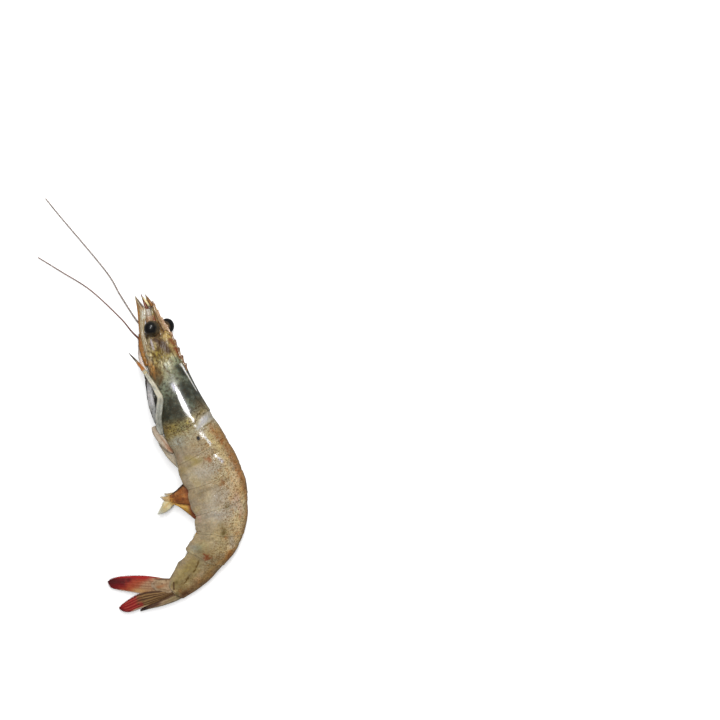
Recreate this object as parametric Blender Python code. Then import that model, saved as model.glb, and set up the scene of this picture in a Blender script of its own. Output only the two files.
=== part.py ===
"""A raw whiteleg shrimp, whole with head, shell, legs and tail fan, lying on its right side.

The shrimp is one solid. Its middle line runs in the table's plane: +Y is headward, +X is the side
of the back, and +Z points up, out of the animal's left side. The origin is at the middle of the
footprint, on the table. Sizes below are in millimetres; MM turns them into metres.
"""

import math

import bmesh
import bpy
import numpy as np
from mathutils import Vector

MM = 0.001

# Where the orbit, the front of the carapace, lies on the table
ORBIT_X, ORBIT_Y = 6.9, 27.8

# Lengths along the middle line, back from the orbit
CARAPACE = 38.0
SOMITES = (12.6, 12.0, 12.0, 10.6, 12.2, 19.0)
BODY_LENGTH = CARAPACE + sum(SOMITES)
HEAD_CAP = 3.0

# Along the middle line: (station, heading in degrees from -Y towards +X)
HEADINGS = ((0, 20), (38, 22), (46, 27), (58, 24), (70, 14), (80, -3), (92, -30), (104, -43), (118, -46))
# Along the middle line: (station, depth from back to belly, width from side to side)
GIRTH = (
    (-3.0, 8.6, 5.0),
    (0, 12.4, 9.0),
    (10, 14.4, 13.0),
    (20, 16.0, 15.6),
    (30, 18.4, 17.0),
    (38, 20.6, 17.4),
    (46, 22.8, 17.2),
    (58, 24.4, 16.8),
    (70, 24.6, 16.2),
    (81, 21.0, 14.6),
    (92, 17.4, 12.6),
    (99, 14.8, 11.0),
    (107, 12.8, 9.6),
    (117.4, 8.6, 7.0),
)
# Along the middle line: (station, height above the table)
HEIGHTS = ((-20, 8.8), (0, 8.6), (38, 8.5), (70, 7.9), (99, 6.2), (118, 4.4))
# Along the middle line: (station, roll of the back towards the top, in degrees)
ROLLS = ((-20, 24), (0, 22), (20, 13), (38, 4), (48, 0), (118, 0))

# Along the middle line: (station, how far the plates' free edges lie back of it on the back, on the
# flanks and at the belly)
SLANTS = (
    (-3, 0, 0, 0),
    (24, 0, 0, 0),
    (38, -2.6, 1.4, 0.4),
    (50.6, -1.2, 0.4, 0.6),
    (62.6, -2.2, 0.8, 0.2),
    (74.6, -3.2, 0.2, 3.6),
    (85.2, -1.4, 0.4, 4.2),
    (97.4, -1.8, 0.4, 2.8),
    (106, 0, 0, 0.4),
    (118, 0, 0, 0),
)

# Shell relief
PLATE_STEP = 0.45
CARAPACE_STEP = 0.7
PLEURON_DROP = 1.5
BELLY_GROOVE = 4.0
RING_POINTS = 28

TABLE_CUT = 20.0


def clear_scene():
    for old in list(bpy.data.objects):
        bpy.data.objects.remove(old)


def smooth(table, station, column=1):
    """The value of a table's column at a station, on a smooth curve through its rows."""
    xs = [row[0] for row in table]
    ys = [row[column] for row in table]
    if station <= xs[0]:
        return ys[0]
    if station >= xs[-1]:
        return ys[-1]
    i = max(k for k in range(len(xs) - 1) if xs[k] <= station)
    slopes = np.gradient(ys, xs)
    gap = xs[i + 1] - xs[i]
    t = (station - xs[i]) / gap
    rise = ys[i] * (1 + 2 * t) * (1 - t) ** 2 + ys[i + 1] * t * t * (3 - 2 * t)
    return rise + gap * (slopes[i] * t * (1 - t) ** 2 + slopes[i + 1] * t * t * (t - 1))


def heading(station):
    return math.radians(smooth(HEADINGS, station))


def middle_line():
    """Points of the middle line every half millimetre, by adding up its headings."""
    step = 0.5
    x, y = ORBIT_X, ORBIT_Y
    points = []
    for k in range(int(BODY_LENGTH / step) + 1):
        points.append((k * step, x, y))
        turn = heading((k + 0.5) * step)
        x += step * math.sin(turn)
        y -= step * math.cos(turn)
    return points


LINE = middle_line()


def spine(station):
    """The middle line's point at a station. It runs on straight past both ends."""
    held = min(max(station, 0.0), LINE[-1][0])
    k = min(int(held / 0.5), len(LINE) - 2)
    share = held / 0.5 - k
    x = LINE[k][1] * (1 - share) + LINE[k + 1][1] * share
    y = LINE[k][2] * (1 - share) + LINE[k + 1][2] * share
    turn = heading(station)
    beyond = station - held
    return Vector((x + beyond * math.sin(turn), y - beyond * math.cos(turn), smooth(HEIGHTS, station)))


def place(station, back, left):
    """The point at a station, so far towards the back and so far towards the animal's left."""
    turn = heading(station)
    roll = math.radians(smooth(ROLLS, station))
    across = Vector((math.cos(turn), math.sin(turn), 0))
    up = Vector((0, 0, 1))
    towards_back = across * math.cos(roll) + up * math.sin(roll)
    towards_left = up * math.cos(roll) - across * math.sin(roll)
    return spine(station) + towards_back * back + towards_left * left


def loft(name, rings):
    """A closed mesh through rings of as many points each, in millimetres."""
    bm = bmesh.new()
    loops = [[bm.verts.new(Vector(p) * MM) for p in ring] for ring in rings]
    count = len(rings[0])
    for near, far in zip(loops, loops[1:]):
        for k in range(count):
            n = (k + 1) % count
            bm.faces.new((near[k], near[n], far[n], far[k]))
    bm.faces.new(reversed(loops[0]))
    bm.faces.new(loops[-1])
    bmesh.ops.recalc_face_normals(bm, faces=bm.faces)
    if bm.calc_volume(signed=True) < 0:
        bmesh.ops.reverse_faces(bm, faces=bm.faces)
    mesh = bpy.data.meshes.new(name)
    bm.to_mesh(mesh)
    bm.free()
    piece = bpy.data.objects.new(name, mesh)
    bpy.context.scene.collection.objects.link(piece)
    return piece


def tube(name, points, radii, sides=1):
    """A round limb along a curve with a bevel, tapering from point to point, in millimetres."""
    curve = bpy.data.curves.new(name, "CURVE")
    curve.dimensions = "3D"
    curve.bevel_depth = MM
    curve.bevel_resolution = sides
    curve.use_fill_caps = True
    spline = curve.splines.new("POLY")
    spline.points.add(len(points) - 1)
    for spot, point, radius in zip(spline.points, points, radii):
        spot.co = (*(Vector(point) * MM), 1)
        spot.radius = radius
    guide = bpy.data.objects.new(name, curve)
    bpy.context.scene.collection.objects.link(guide)
    bpy.context.view_layer.update()
    mesh = bpy.data.meshes.new_from_object(guide.evaluated_get(bpy.context.evaluated_depsgraph_get()))
    bpy.data.objects.remove(guide)
    bm = bmesh.new()
    bm.from_mesh(mesh)
    bmesh.ops.remove_doubles(bm, verts=bm.verts, dist=1e-6)
    bmesh.ops.recalc_face_normals(bm, faces=bm.faces)
    bm.to_mesh(mesh)
    bm.free()
    piece = bpy.data.objects.new(name, mesh)
    bpy.context.scene.collection.objects.link(piece)
    return piece


def through(points, steps):
    """Points of a smooth curve through the given ones, with so many steps between each two."""
    knots = [Vector(p) for p in points]
    knots = [2 * knots[0] - knots[1], *knots, 2 * knots[-1] - knots[-2]]
    found = []
    for a, b, c, d in zip(knots, knots[1:], knots[2:], knots[3:]):
        bend, twist = 2 * a - 5 * b + 4 * c - d, 3 * b - a - 3 * c + d
        for k in range(steps):
            t = k / steps
            found.append(0.5 * (2 * b + (c - a) * t + bend * t * t + twist * t**3))
    return [*found, knots[-2]]


def leaf_share(t, base, widest, power):
    """A leaf's width at the share t of its length, as a share of its greatest width."""
    if t <= widest:
        return base + (1 - base) * math.sin(math.pi / 2 * t / widest)
    return max(1 - ((t - widest) / (1 - widest)) ** power, 0.0) ** (1 / power)


def blade(name, points, across, width, thickness, base, widest, power, steps=9, sides=8):
    """A flat leaf along a smooth curve; across is the way its width runs."""
    line = through(points, steps)
    rings = []
    for k, point in enumerate(line):
        t = k / (len(line) - 1)
        before, after = line[max(k - 1, 0)], line[min(k + 1, len(line) - 1)]
        along = (after - before).normalized()
        side = (across - along * across.dot(along)).normalized()
        normal = along.cross(side)
        wide = max(width / 2 * leaf_share(min(t, 0.985), base, widest, power), 0.12)
        thick = thickness / 2 * (1 - 0.5 * t)
        angles = [2 * math.pi * j / sides for j in range(sides)]
        rings.append([point + side * (wide * math.cos(a)) + normal * (thick * math.sin(a)) for a in angles])
    return loft(name, rings)


def somite_of(station):
    """(index of the somite, share of its length) at a station behind the carapace."""
    start = CARAPACE
    for k, length in enumerate(SOMITES):
        if station < start + length or k == len(SOMITES) - 1:
            return k, min((station - start) / length, 1.0)
        start += length


def shell_stations():
    """Stations of the body's rings: close together at the free edge of each shell plate."""
    stations = [-HEAD_CAP, -1.5, 0, 2.5, 6, 10, 15, 20, 25, 30, 34.5]
    edge = CARAPACE
    for length in SOMITES:
        stations += [edge - 0.02, edge + 0.45, edge + length * 0.22, edge + length * 0.5, edge + length * 0.8]
        edge += length
    return [*stations, edge - 1.0, edge]


def ring(station):
    """One ring of the body: a rounded back, flatter flanks and a belly grooved between its side plates."""
    depth, width = smooth(GIRTH, station) / 2, smooth(GIRTH, station, 2) / 2
    behind = station > CARAPACE
    lobe, groove, lift = 0.0, 0.0, 0.0
    if behind:
        k, share = somite_of(station)
        last = k == len(SOMITES) - 1
        lift = 0 if last else PLATE_STEP * share
        lobe = 0 if last else PLEURON_DROP * math.sin(math.pi * share) ** 0.6
        groove = BELLY_GROOVE * (max(1 - share * 2, 0) if last else 1)
    else:
        lift = CARAPACE_STEP * max(station / CARAPACE, 0) ** 2
        groove = BELLY_GROOVE * min(max(station / 12, 0), 1)
    slants = [smooth(SLANTS, station, column) for column in (1, 2, 3)]
    points = []
    for j in range(RING_POINTS):
        angle = 2 * math.pi * j / RING_POINTS
        c, s = math.cos(angle), math.sin(angle)
        back = (depth + lift) * math.copysign(abs(c) ** (1.0 if c > 0 else 0.84), c)
        left = (width + lift) * math.copysign(abs(s) ** 0.86, s)
        low = max(-c, 0.0)
        back -= lobe * low**1.5
        back += groove * max(1 - (left / (0.62 * width)) ** 2, 0) * low
        toward = slants[0] if c > 0 else slants[2]
        shift = slants[1] + (toward - slants[1]) * abs(c) ** 1.5
        points.append(place(station + shift, back, left))
    return points


def body():
    return loft("shrimp", [ring(s) for s in shell_stations()])


# Head. Stations ahead of the orbit are negative.
ROSTRUM_RIDGE = (
    (-15.0, 4.7, 0.6),
    (-11.0, 5.1, 1.9),
    (-7.4, 5.8, 2.9),
    (-3.9, 6.7, 3.6),
    (0.6, 7.6, 4.0),
    (8.4, 8.1, 3.6),
    (17.0, 8.1, 3.0),
)
ROSTRUM_THICK = 2.0
ROSTRUM_TEETH = 8
TOOTH_RISE = 0.9


def rostrum():
    """The toothed keel that runs off the carapace's ridge to a point."""
    rings = []
    tip, root = ROSTRUM_RIDGE[0][0], ROSTRUM_RIDGE[-1][0]
    per_tooth = 3
    count = (ROSTRUM_TEETH + 1) * per_tooth
    for k in range(count + 1):
        t = k / count
        station = root + (tip - root) * t
        top, deep = smooth(ROSTRUM_RIDGE, station), smooth(ROSTRUM_RIDGE, station, 2)
        inside = per_tooth <= k + 1 < count
        tooth = TOOTH_RISE * (k % per_tooth) / (per_tooth - 1) * (1 - 0.6 * t) if inside else 0
        half = ROSTRUM_THICK / 2 * (1 - 0.75 * t)
        rings.append(
            [
                place(station, top + tooth, 0),
                place(station, top - 0.3, half * 0.5),
                place(station, top - deep * 0.6, half),
                place(station, top - deep, half * 0.4),
                place(station, top - deep, -half * 0.4),
                place(station, top - deep * 0.6, -half),
                place(station, top - 0.3, -half * 0.5),
            ]
        )
    return [loft("rostrum", rings)]


EYE_RADIUS = 2.9
EYE_SIDE = 6.0
EYE_STATION = -3.9
EYE_BACK = 2.4


def eyes():
    """Two beads on short stalks that leave the head below the rostrum."""
    made = []
    for side in (1, -1):
        stalk = [place(1.5, 1.6, side * 1.8), place(EYE_STATION + 0.7, EYE_BACK, side * (EYE_SIDE - 1.2))]
        made.append(tube("eyestalk", stalk, [1.4, 1.9]))
        centre = place(EYE_STATION, EYE_BACK, side * EYE_SIDE)
        bm = bmesh.new()
        bmesh.ops.create_uvsphere(bm, u_segments=14, v_segments=9, radius=EYE_RADIUS * MM)
        bmesh.ops.translate(bm, verts=bm.verts, vec=centre * MM)
        mesh = bpy.data.meshes.new("eye")
        bm.to_mesh(mesh)
        bm.free()
        eye = bpy.data.objects.new("eye", mesh)
        bpy.context.scene.collection.objects.link(eye)
        made.append(eye)
    return made


SCALE_LENGTH = 22.0
SCALE_WIDTH = 6.4
SCALE_THICK = 0.9


def antennal_scales():
    """The long pointed leaves beside the head, and the stout stems under them."""
    made = []
    for side in (1, -1):
        root = place(3.0, -4.4, side * 3.6)
        middle = place(3.0 - SCALE_LENGTH * 0.5, -3.0, side * 4.6)
        tip = place(3.0 - SCALE_LENGTH, -1.2, side * 3.4)
        across = place(0, -0.75, -side * 0.66) - place(0, 0, 0)
        line = [root, middle, tip]
        made.append(blade("antennal_scale", line, across, SCALE_WIDTH, SCALE_THICK, 0.5, 0.4, 1.5, 5))
        stem = [place(5, -4.8, side * 3.4), place(-1, -5.4, side * 3.8), place(-4.5, -5.6, side * 3.6)]
        made.append(tube("antennal_stem", stem, [2.4, 1.9, 1.1]))
    return made


def antennules():
    """Two jointed stems between the scales, each with two short feelers."""
    made = []
    for side in (1, -1):
        stem = [
            place(2, -0.4, side * 2.0),
            place(-5, 0.0, side * 1.9),
            place(-9.5, 0.3, side * 1.7),
            place(-12.5, 0.4, side * 1.5),
        ]
        made.append(tube("antennule", stem, [2.0, 1.7, 1.3, 0.9]))
        for up, out in ((1.6, 1.0), (-0.9, 2.2)):
            feeler = [
                place(-11.5, 0.4, side * 1.5),
                place(-14.0, 0.4 + up * 0.5, side * (1.5 + out * 0.4)),
                place(-17.0, 0.4 + up, side * (1.5 + out)),
            ]
            made.append(tube("feeler", feeler, [0.55, 0.42, 0.25]))
    return made


# The long feelers: where they run on the table after they leave their stems, (x, y, height)
LEFT_ANTENNA = ((-9.1, 36.4, 5.6), (-22.2, 48.0, 1.9), (-35.0, 56.0, 0.7), (-44.28, 61.7, 0.5))
RIGHT_ANTENNA = (
    (-2.6, 35.2, 2.7),
    (-9.7, 45.9, 1.4),
    (-16.2, 56.4, 0.8),
    (-35.3, 79.2, 0.6),
    (-41.2, 86.45, 0.5),
)
ANTENNA_ROOT, ANTENNA_TIP = 0.62, 0.32


def antennae():
    made = []
    for name, side, route in (("left_antenna", 1, LEFT_ANTENNA), ("right_antenna", -1, RIGHT_ANTENNA)):
        line = through([place(-1.5, -5.6, side * 3.8), place(-4.2, -5.8, side * 3.6), *route], 4)
        radii = np.linspace(ANTENNA_ROOT, ANTENNA_TIP, len(line))
        made.append(tube(name, line, radii))
    return made


# Walking legs: the stations of hip, knee, ankle and tip, and how far knee, ankle and tip lie below
# the edge of the carapace
WALKING_LEGS = (
    (14.0, 10.0, 4.0, -2.0, -0.4, -0.2, -0.6),
    (19.0, 14.5, 7.0, 0.0, 0.2, 0.2, -0.2),
    (24.0, 19.0, 11.0, 4.0, 1.0, 0.6, 0.2),
    (29.5, 24.0, 15.0, 7.0, 1.8, 1.2, 0.6),
    (35.0, 29.0, 20.0, 12.0, 2.4, 1.8, 0.8),
)
LEG_RADII = (1.3, 1.2, 1.1, 0.9, 0.4)
# The last left leg lies over the flank: (station, towards the back, towards the left)
LOOSE_LEG = (
    (36.0, -8.4, 3.0),
    (33.0, -9.9, 5.6),
    (29.0, -8.2, 8.0),
    (23.8, -5.9, 8.3),
    (15.5, -7.6, 6.6),
    (8.8, -9.4, 5.0),
    (2.1, -12.2, 3.6),
)
LOOSE_LEG_RADII = (1.3, 1.35, 1.25, 1.15, 0.95, 0.6, 0.3)


def walking_legs():
    """Five pairs of thin legs folded forward under the carapace."""
    made = [tube("walking_leg", [place(*spot) for spot in LOOSE_LEG], LOOSE_LEG_RADII)]
    for side in (1, -1):
        for k, (hip, knee, ankle, tip, *drops) in enumerate(WALKING_LEGS):
            if side == 1 and k == 4:
                continue
            beside = side * (1.6 + 0.9 * k)
            line = [place(hip, 3.0 - smooth(GIRTH, hip) / 2, side * 2.4)]
            line.append(place(hip - 2.0, -drops[0] * 0.6 - smooth(GIRTH, hip - 2.0) / 2, beside))
            for station, drop, inward in zip((knee, ankle, tip), drops, (1.0, 0.9, 0.7)):
                line.append(place(station, -drop - smooth(GIRTH, station) / 2, beside * inward))
            made.append(tube("walking_leg", line, LEG_RADII))
    return made


MOUTH_LEG = ((12, -6.0, 2.0), (5, -7.6, 2.0), (-3, -7.2, 1.6), (-8, -6.2, 1.2))


def mouth_legs():
    """The pair of leg-like mouthparts that lies forward under the head."""
    made = []
    for side in (1, -1):
        line = [place(s, back, side * left) for s, back, left in MOUTH_LEG]
        made.append(tube("mouth_leg", line, [1.3, 1.1, 0.85, 0.4]))
    return made


# Swimming legs, for each somite and side: (station, towards the back, towards the left) of the root,
# the joint and the tip, and the widths of stem and paddle
SWIMMING_LEGS = (
    ((51.0, -9.2, 3.6), (43.0, -11.2, 4.4), (34.4, -12.9, 4.2), 4.4, 3.6),
    ((49.0, -8.6, -3.0), (42.6, -10.6, -3.6), (35.0, -11.0, -3.0), 3.6, 3.0),
    ((62.0, -8.8, 2.6), (55.0, -9.8, 3.0), (49.0, -9.4, 2.6), 3.8, 2.6),
    ((62.0, -8.8, -2.6), (55.0, -9.8, -3.0), (49.0, -9.4, -2.6), 3.8, 2.6),
    ((66.5, -7.0, 3.0), (64.9, -17.0, 3.6), (62.0, -22.4, 3.4), 11.5, 3.4),
    ((71.5, -7.0, -1.6), (67.8, -17.4, -1.0), (72.6, -24.8, -0.6), 11.5, 3.6),
    ((82.0, -6.6, 2.4), (88.6, -7.4, 2.6), (94.6, -6.4, 2.2), 3.6, 2.6),
    ((82.0, -6.6, -2.4), (88.6, -7.4, -2.6), (94.6, -6.4, -2.2), 3.6, 2.6),
    ((92.0, -5.0, 2.0), (97.6, -5.4, 2.2), (103.0, -4.6, 1.8), 3.2, 2.4),
    ((92.0, -5.0, -2.0), (97.6, -5.4, -2.2), (103.0, -4.6, -1.8), 3.2, 2.4),
)
SWIM_STEM_THICK, SWIM_PADDLE_THICK = 2.2, 1.0


def swimming_legs():
    """Five pairs of stems with paddles, in the belly's groove but for the first and third."""
    made = []
    for root, joint, tip, stem_width, paddle_width in SWIMMING_LEGS:
        root, joint, tip = place(*root), place(*joint), place(*tip)
        along = joint - root
        across = Vector((-along.y, along.x, 0))
        line = [root, joint]
        made.append(blade("swim_stem", line, across, stem_width, SWIM_STEM_THICK, 1.0, 0.1, 1.6, 7))
        along = tip - joint
        across = Vector((-along.y, along.x, 0))
        line = [joint.lerp(root, 0.3), tip]
        made.append(blade("swim_paddle", line, across, paddle_width, SWIM_PADDLE_THICK, 0.8, 0.35, 1.4, 7))
    return made


# Tail fan, seen from above: where each leaf leaves the last somite, where its tip lies, its width, the
# height of its tip and its tilt in degrees
FAN = (
    ("left_inner_leaf", (14.3, -78.2), (-9.7, -85.1), 6.8, 3.4, 18),
    ("left_outer_leaf", (12.2, -76.1), (-14.5, -73.6), 7.2, 2.8, 10),
    ("right_inner_leaf", (14.3, -78.2), (-7.5, -83.4), 5.6, 1.6, -8),
    ("right_outer_leaf", (12.2, -76.6), (-11.0, -75.4), 5.8, 1.2, -10),
)
LEAF_THICK = 1.0
FAN_ROOT = 3.0
TELSON = ("telson", (14.2, -79.2), (-1.6, -86.1), 5.0, 3.2, 35)


def fan_leaf(name, root, tip, width, height, tilt, thick=LEAF_THICK, shape=(0.42, 0.62, 2.3)):
    start, end = Vector((*root, 2.4 + height * 0.6)), Vector((*tip, height))
    start += (start - end).normalized() * FAN_ROOT
    middle = start.lerp(end, 0.5)
    middle.z += 0.4
    along = (end - start).normalized()
    lean = math.radians(tilt)
    side = Vector((-along.y, along.x, 0)) * math.cos(lean) + Vector((0, 0, math.sin(lean)))
    return blade(name, [start, middle, end], side, width, thick, *shape, 6)


def tail_fan():
    """Four leaves and the pointed telson, fanned from the end of the last somite."""
    return [*(fan_leaf(*row) for row in FAN), fan_leaf(*TELSON, 2.6, (0.95, 0.12, 1.25))]


def join(main, pieces):
    """One solid of them all, by one Boolean union. Sealed hollows are filled."""
    group = bpy.data.collections.new("limbs")
    for piece in pieces:
        bpy.context.scene.collection.objects.unlink(piece)
        group.objects.link(piece)
    bpy.context.scene.collection.children.link(group)
    union = main.modifiers.new("union", "BOOLEAN")
    union.operation = "UNION"
    union.operand_type = "COLLECTION"
    union.collection = group
    apply_modifiers(main)
    for piece in pieces:
        bpy.data.objects.remove(piece)
    bpy.data.collections.remove(group)
    keep_outer_skin(main)


def apply_modifiers(piece):
    bpy.context.view_layer.update()
    graph = bpy.context.evaluated_depsgraph_get()
    mesh = bpy.data.meshes.new_from_object(piece.evaluated_get(graph))
    piece.modifiers.clear()
    piece.data = mesh


def keep_outer_skin(piece):
    """Drops every island of faces but the largest."""
    bm = bmesh.new()
    bm.from_mesh(piece.data)
    left = set(bm.faces)
    islands = []
    while left:
        todo = [left.pop()]
        island = list(todo)
        while todo:
            face = todo.pop()
            near = {other for edge in face.edges for other in edge.link_faces} & left
            left -= near
            todo += near
            island += near
        islands.append(island)
    islands.sort(key=len)
    for island in islands[:-1]:
        bmesh.ops.delete(bm, geom=island, context="FACES")
    bm.to_mesh(piece.data)
    bm.free()


def cut_at_table(piece):
    """Cuts off what would press into the table, which leaves the flat spots that it rests on."""
    bm = bmesh.new()
    bmesh.ops.create_cube(bm, size=1)
    for vert in bm.verts:
        vert.co = Vector((vert.co.x * 0.4, vert.co.y * 0.4, (vert.co.z - 0.5) * TABLE_CUT * MM))
    mesh = bpy.data.meshes.new("table")
    bm.to_mesh(mesh)
    bm.free()
    table = bpy.data.objects.new("table", mesh)
    bpy.context.scene.collection.objects.link(table)
    cut = piece.modifiers.new("cut", "BOOLEAN")
    cut.operation = "DIFFERENCE"
    cut.object = table
    apply_modifiers(piece)
    bpy.data.objects.remove(table)
    keep_outer_skin(piece)


def shell_material():
    material = bpy.data.materials.new("raw_shell")
    material.use_nodes = True
    shader = material.node_tree.nodes["Principled BSDF"]
    shader.inputs["Base Color"].default_value = (0.47, 0.39, 0.25, 1)
    shader.inputs["Roughness"].default_value = 0.3
    shader.inputs["Metallic"].default_value = 0.0
    return material


def main():
    clear_scene()
    shrimp = body()
    limbs = rostrum() + eyes() + antennal_scales() + antennules() + antennae()
    limbs += walking_legs() + mouth_legs() + swimming_legs() + tail_fan()
    join(shrimp, limbs)
    cut_at_table(shrimp)
    shrimp.data.shade_smooth()
    shrimp.data.set_sharp_from_angle(angle=math.radians(40))
    shrimp.data.materials.clear()
    shrimp.data.materials.append(shell_material())


main()
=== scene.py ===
import math

import bpy
import numpy as np
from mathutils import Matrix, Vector


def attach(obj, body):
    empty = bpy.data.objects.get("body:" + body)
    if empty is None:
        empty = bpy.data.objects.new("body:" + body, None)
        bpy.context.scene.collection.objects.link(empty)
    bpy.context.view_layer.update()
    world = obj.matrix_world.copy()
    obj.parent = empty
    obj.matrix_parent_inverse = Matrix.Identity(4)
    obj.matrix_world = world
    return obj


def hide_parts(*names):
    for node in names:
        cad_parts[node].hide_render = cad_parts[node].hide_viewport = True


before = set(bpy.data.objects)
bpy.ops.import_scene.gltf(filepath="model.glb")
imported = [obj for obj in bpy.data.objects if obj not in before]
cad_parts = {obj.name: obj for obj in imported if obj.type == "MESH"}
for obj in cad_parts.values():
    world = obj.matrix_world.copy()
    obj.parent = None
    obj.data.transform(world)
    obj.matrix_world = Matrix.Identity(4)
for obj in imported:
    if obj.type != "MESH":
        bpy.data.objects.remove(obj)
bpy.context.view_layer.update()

# A raw whiteleg shrimp on its right side: +Y towards the head, +X towards its back, +Z out of its left side.
# Tables are in millimetres and colours from 0 to 255; meshes are in metres.
mm = 0.001
randomSeed = 7
rng = np.random.default_rng(randomSeed)

view = {  # the camera looks straight down
    "centre": (90.72, 18.69),
    "height": 500.0,
    "across": 302.4,  # what it sees of the table
    "sensor": 36.0,
    "nearest": 10.0,
}

cameraData = bpy.data.cameras.new("camera")
cameraData.sensor_width = view["sensor"]
cameraData.lens = view["sensor"] * view["height"] / view["across"]
cameraData.clip_start = view["nearest"] * mm
camera = bpy.data.objects.new("camera", cameraData)
camera.location = (view["centre"][0] * mm, view["centre"][1] * mm, view["height"] * mm)
bpy.context.scene.collection.objects.link(camera)
bpy.context.scene.camera = camera
bpy.context.scene.view_settings.view_transform = "Standard"
print("camera placed")


# The body: its middle line, girth, rolls and slants are the solids' own, and its sections are a little fuller

bodyLine = {  # a station is a distance along the middle line from the eye socket, and the rows start with one
    "orbit": (6.9, 27.8),  # where station 0 lies
    "carapace": 38.0,  # lengths along the line
    "somites": (12.6, 12.0, 12.0, 10.6, 12.2, 19.0),
    "headings": (  # degrees
        (0, 20), (38, 22), (46, 27), (58, 24), (70, 14), (80, -3), (92, -30), (104, -43), (118, -46),
    ),
    "girth": (  # from belly to back, and from side to side
        (-3.0, 8.6, 5.0),
        (0, 12.4, 9.0),
        (10, 14.4, 13.0),
        (20, 16.0, 15.6),
        (30, 18.4, 17.0),
        (38, 20.6, 17.4),
        (46, 22.8, 17.2),
        (58, 24.4, 16.8),
        (70, 24.6, 16.2),
        (81, 21.0, 14.6),
        (92, 17.4, 12.6),
        (99, 14.8, 11.0),
        (107, 12.8, 9.6),
        (117.4, 8.6, 7.0),
    ),
    "heights": ((-20, 8.8), (0, 8.6), (38, 8.5), (70, 7.9), (99, 6.2), (118, 4.4)),  # above the table
    "rolls": ((-20, 24), (0, 22), (20, 13), (38, 4), (48, 0), (118, 0)),  # degrees that lift the back
    "sectionSteps": 361,
    "bellySection": (2.35, 0.42),  # how flat and how sharp the belly is
    "sections": (  # where the flank is widest, how flat it is and how sharp the back is
        (-3, -0.2, 2.0, 0.62),
        (10, -0.18, 2.15, 0.56),
        (20, -0.14, 2.3, 0.51),
        (29, -0.09, 2.5, 0.46),
        (38, -0.03, 2.75, 0.42),
        (44, 0.0, 2.9, 0.4),
        (50, 0.02, 3.2, 0.37),
        (58, 0.0, 3.4, 0.35),
        (68, 0.0, 3.0, 0.37),
        (80, 0.0, 2.6, 0.4),
        (92, 0.0, 2.2, 0.44),
        (118, 0.0, 2.0, 0.45),
    ),
    "slants": (  # how far the plates' edges lie back: on the back, the flanks and the belly
        (-3, 0, 0, 0),
        (24, 0, 0, 0),
        (38, -2.6, 1.4, 0.4),
        (50.6, -1.2, 0.4, 0.6),
        (62.6, -2.2, 0.8, 0.2),
        (74.6, -3.2, 0.2, 3.6),
        (85.2, -1.4, 0.4, 4.2),
        (97.4, -1.8, 0.4, 2.8),
        (106, 0, 0, 0.4),
        (118, 0, 0, 0),
    ),
}
bodyLength = bodyLine["carapace"] + sum(bodyLine["somites"])


def smooth(table, stations, column=1):
    # a column of a table, on a smooth curve between its rows
    xs = np.array([row[0] for row in table], float)
    ys = np.array([row[column] for row in table], float)
    s = np.clip(np.asarray(stations, float), xs[0], xs[-1])
    i = np.clip(np.searchsorted(xs, s, side="right") - 1, 0, len(xs) - 2)
    slopes = np.gradient(ys, xs)
    gap = xs[i + 1] - xs[i]
    t = (s - xs[i]) / gap
    rise = ys[i] * (1 + 2 * t) * (1 - t) ** 2 + ys[i + 1] * t * t * (3 - 2 * t)
    return rise + gap * (slopes[i] * t * (1 - t) ** 2 + slopes[i + 1] * t * t * (t - 1))


def tabled(rows, stations, column=1):
    return np.interp(stations, [row[0] for row in rows], [row[column] for row in rows])


def ramp(value, low, high):
    t = np.clip((np.asarray(value, float) - low) / (high - low), 0, 1)
    return t * t * (3 - 2 * t)


def hill(value, low, high, soft):
    return ramp(value, low - soft, low + soft) * (1 - ramp(value, high - soft, high + soft))


def line(value, centre, breadth):
    return np.exp(-(((value - centre) / breadth) ** 2))


lineStep = 0.25
lineStations = np.arange(0, bodyLength + lineStep, lineStep)
lineTurns = np.radians(smooth(bodyLine["headings"], lineStations[:-1] + lineStep / 2))
lineX = bodyLine["orbit"][0] + np.concatenate([[0], np.cumsum(lineStep * np.sin(lineTurns))])
lineY = bodyLine["orbit"][1] - np.concatenate([[0], np.cumsum(lineStep * np.cos(lineTurns))])


def place(station, back, left):
    # the point at a station, so far towards the back and so far towards the left side
    station, back, left = np.broadcast_arrays(*(np.asarray(v, float) for v in (station, back, left)))
    held = np.clip(station, 0, bodyLength)
    turn = np.radians(smooth(bodyLine["headings"], station))
    roll = np.radians(smooth(bodyLine["rolls"], station))
    across = back * np.cos(roll) - left * np.sin(roll)
    x = np.interp(held, lineStations, lineX) + (station - held) * np.sin(turn) + across * np.cos(turn)
    y = np.interp(held, lineStations, lineY) - (station - held) * np.cos(turn) + across * np.sin(turn)
    z = smooth(bodyLine["heights"], station) + back * np.sin(roll) + left * np.cos(roll)
    return np.stack([x, y, z], axis=-1)


def onSide(rows, side):
    # the points of a table, on the left side (1) or the right one (-1)
    return [place(station, back, side * left) for station, back, left in rows]


def through(points, steps):
    # a smooth curve through the given points
    knots = [np.array(p, float) for p in points]
    knots = [2 * knots[0] - knots[1], *knots, 2 * knots[-1] - knots[-2]]
    found = []
    for a, b, c, d in zip(knots, knots[1:], knots[2:], knots[3:]):
        bend, twist = 2 * a - 5 * b + 4 * c - d, 3 * b - a - 3 * c + d
        for k in range(steps):
            t = k / steps
            found.append(0.5 * (2 * b + (c - a) * t + bend * t * t + twist * t**3))
    return np.array([*found, knots[-2]])


def evenly(curve, count):
    # the same curve with its points evenly spaced
    reach = np.concatenate([[0], np.cumsum(np.linalg.norm(np.diff(curve, axis=0), axis=1))])
    spots = np.linspace(0, reach[-1], count)
    return np.stack([np.interp(spots, reach, curve[:, k]) for k in range(curve.shape[1])], -1)


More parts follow.
